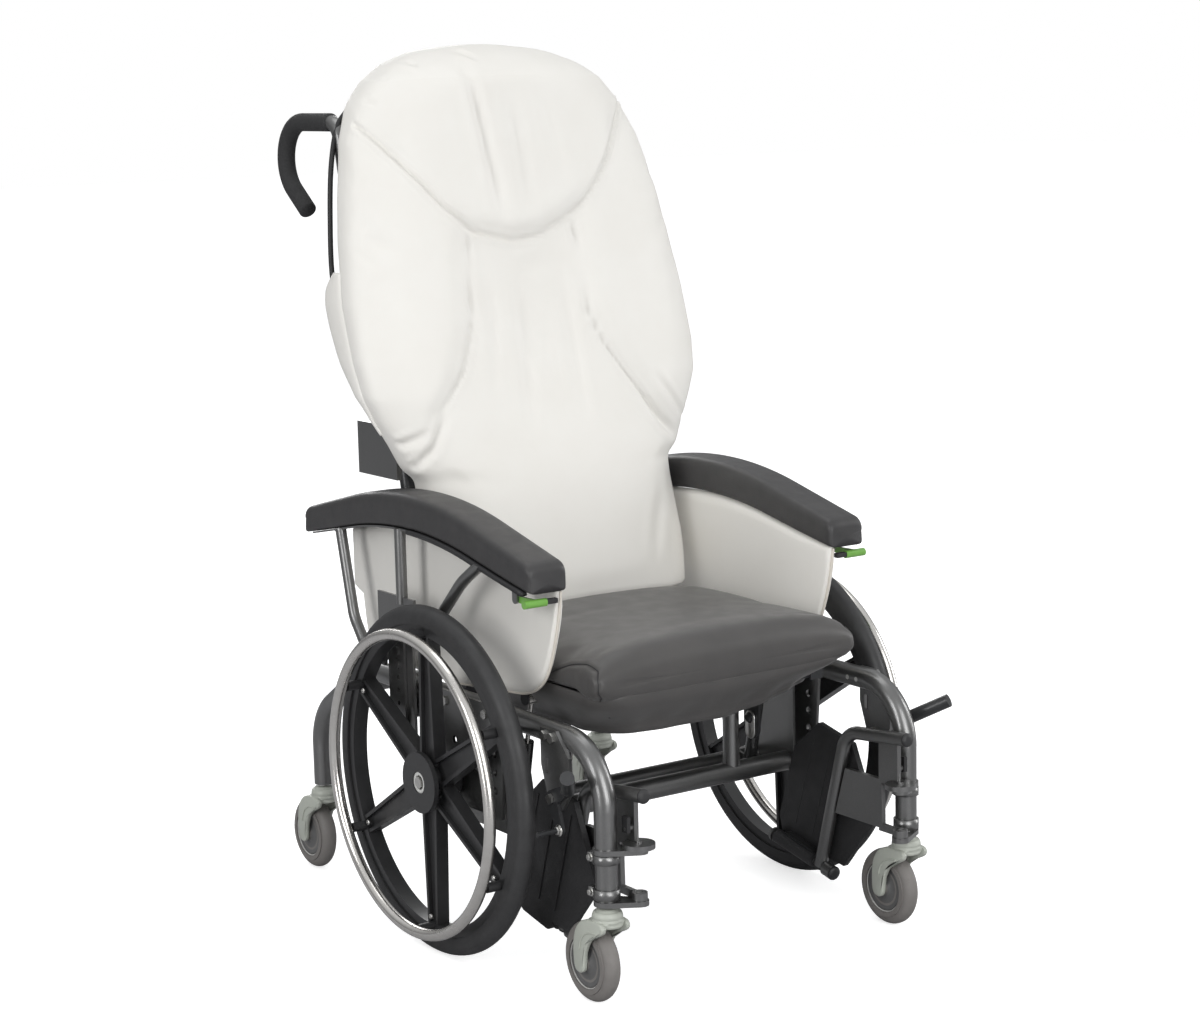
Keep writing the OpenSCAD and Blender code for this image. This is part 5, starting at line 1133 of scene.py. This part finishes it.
def make_back_fittings(side, sign):
    """Dark edge of the back's shell and the cover's flap behind the wing."""
    shell_line = [(0.256, 0.395, 1.345), (0.276, 0.394, 1.317), (0.294, 0.386, 1.25), (0.306, 0.374, 1.16),
                  (0.314, 0.360, 1.078), (0.315, 0.341, 1.00), (0.306, 0.316, 0.93)]
    path = curve_points([at_axle(sign * x, y, z) for x, y, z in shell_line], 5)
    sweep("shell_edge_" + side, path, 0.0045, "seat", "shell_plastic", sides=12, round_end=0.004)
    flap_line = [(0.326, 1.082), (0.353, 1.051), (0.342, 0.998), (0.306, 0.932), (0.273, 0.886),
                 (0.250, 0.852), (0.236, 0.815)]
    sides, tucked, half_wide = 20, 0.004, 0.017
    turns = [2 * math.pi * k / sides for k in range(sides)]
    rings = []
    for p in curve_points([(0, y, z) for y, z in flap_line], 6):
        edge = table_value(BACK_EDGE, p.z)
        depth = max(tucked, p.y - edge) + tucked
        middle = table_value(BACK_HALF, p.z) - tucked - half_wide
        rings.append([at_axle(sign * (middle - half_wide * signed_power(math.cos(t), 0.6)),
                              edge - tucked + depth * (0.5 + 0.5 * signed_power(math.sin(t), 0.6)), p.z)
                      for t in turns])
    flap = loft("back_flap_" + side, rings, "seat", "cream_vinyl")


def make_panel_piping(side, sign):
    """Piping sewn round the side panel's front edge."""
    line = curve_points([at_axle(sign * 0.270, y - 0.001, z) for y, z in PANEL_FRONT[:11]], 5)
    sweep("panel_piping_" + side, line, 0.0024, "arm_" + side, "piping", sides=10, round_end=0.002)


for side_name, side_sign in SIDES:
    make_arm_fittings(side_name, side_sign)
    make_front_leg_fittings(side_name, side_sign)
    make_hanger_fittings(side_name, side_sign)
    make_wheel_fittings(side_name, side_sign)
    make_footplate_ribs(side_name, side_sign)
    make_link_plate(side_name, side_sign)
    make_lock_fittings(side_name, side_sign)
    make_back_fittings(side_name, side_sign)
    make_panel_piping(side_name, side_sign)
    for end_name, stem_y in STEMS:
        make_fork(end_name, side_name, side_sign, stem_y)
        make_caster_fittings(end_name, side_name, side_sign, stem_y)


# Studio: pale floor, white surroundings and soft lights

def seen_or_lit(tree, seen, lit):
    """Mixes two shaders: one that the camera sees, and one for all other light."""
    path = add_node(tree, "ShaderNodeLightPath")
    mix = add_node(tree, "ShaderNodeMixShader")
    tree.links.new(path.outputs["Is Camera Ray"], mix.inputs[0])
    tree.links.new(lit.outputs[0], mix.inputs[1])
    tree.links.new(seen.outputs[0], mix.inputs[2])
    return mix


def make_stage():
    """Floor under the chair."""
    mesh = bpy.data.meshes.new("floor")
    reach = 30.0
    corners = [(-reach, -reach, 0), (reach, -reach, 0), (reach, reach, 0), (-reach, reach, 0)]
    mesh.from_pydata(corners, [], [(0, 1, 2, 3)])
    floor = bpy.data.objects.new("floor", mesh)
    bpy.context.scene.collection.objects.link(floor)
    paint = bpy.data.materials.new("floor_paint")
    paint.use_nodes = True
    tree = paint.node_tree
    shader = tree.nodes["Principled BSDF"]
    shader.inputs["Base Color"].default_value = (0.80, 0.80, 0.80, 1)
    shader.inputs["Roughness"].default_value = 0.8
    shader.inputs["Specular IOR Level"].default_value = 0.1
    shader.inputs["Emission Color"].default_value = (1, 1, 1, 1)
    shader.inputs["Emission Strength"].default_value = 0.66
    bounce = add_node(tree, "ShaderNodeBsdfDiffuse", {"Color": (0.42, 0.42, 0.43, 1)})
    mix = seen_or_lit(tree, shader, bounce)
    tree.links.new(mix.outputs[0], tree.nodes["Material Output"].inputs["Surface"])
    mesh.materials.append(paint)


def make_world():
    """White to the camera. As light it is bright above, dim round the horizon and dark below."""
    world = bpy.data.worlds.new("studio")
    bpy.context.scene.world = world
    world.use_nodes = True
    tree = world.node_tree
    tree.nodes.clear()
    seen = add_node(tree, "ShaderNodeBackground", {"Color": (1, 1, 1, 1), "Strength": 1.0})
    place = add_node(tree, "ShaderNodeTexCoord")
    parts = add_node(tree, "ShaderNodeSeparateXYZ", {"Vector": place.outputs["Generated"]})
    shade = add_node(tree, "ShaderNodeMapRange", {
        "Value": parts.outputs["Z"], "From Min": -0.05, "From Max": 0.85, "To Min": 0.22, "To Max": 0.72},
                     interpolation_type="SMOOTHSTEP")
    light = add_node(tree, "ShaderNodeBackground", {
        "Color": (0.98, 0.99, 1.0, 1), "Strength": shade.outputs["Result"]})
    mix = seen_or_lit(tree, seen, light)
    output = add_node(tree, "ShaderNodeOutputWorld")
    tree.links.new(mix.outputs[0], output.inputs["Surface"])


def make_light(name, place, target, size, power):
    """A soft light with a rectangular face that looks at a point."""
    data = bpy.data.lights.new(name, "AREA")
    data.shape = "RECTANGLE"
    data.size, data.size_y = size
    data.energy = power
    lamp = bpy.data.objects.new(name, data)
    bpy.context.scene.collection.objects.link(lamp)
    lamp.location = place
    lamp.rotation_euler = (Vector(target) - Vector(place)).to_track_quat("-Z", "Y").to_euler()


def make_camera():
    """The photograph's camera, solved from the wheels, casters and frame."""
    turn, lift, roll = math.radians(-34.4373), math.radians(9.6444), math.radians(-1.3144)
    back = Vector((math.sin(turn) * math.cos(lift), -math.cos(turn) * math.cos(lift), math.sin(lift)))
    right = Vector((math.cos(turn), math.sin(turn), 0))
    up = back.cross(right)
    right_rolled = right * math.cos(roll) + up * math.sin(roll)
    up_rolled = up * math.cos(roll) - right * math.sin(roll)
    data = bpy.data.cameras.new("camera")
    sensor, focal_pixels, photo_pixels = 36, 2616.68, 1200
    data.sensor_width = sensor
    data.lens = sensor * focal_pixels / photo_pixels
    camera = bpy.data.objects.new("camera", data)
    bpy.context.scene.collection.objects.link(camera)
    axes = Matrix((right_rolled, up_rolled, back)).transposed().to_4x4()
    camera.matrix_world = Matrix.Translation(at_axle(-2.4422, -3.5239, 1.4056)) @ axes
    bpy.context.scene.camera = camera


make_stage()
make_world()
make_light("key", (-0.9, -3.8, 2.3), (0, 0, 0.6), (2.2, 2.2), 54)
make_light("side", (-4.0, -0.9, 1.5), (0, 0, 0.5), (1.2, 2.6), 58)
make_light("fill", (3.8, -1.6, 1.6), (0, 0, 0.6), (0.9, 2.8), 50)
make_light("rear", (1.2, 3.8, 2.0), (0, 0, 0.7), (2.0, 1.6), 40)
make_light("top", (0.0, 0.6, 4.2), (0, 0, 0.5), (3.0, 1.4), 22)
make_light("low", (-0.5, -3.6, 0.7), (0, 0, 0.5), (1.8, 0.7), 24)
make_camera()
bpy.context.scene.view_settings.view_transform = "Standard"
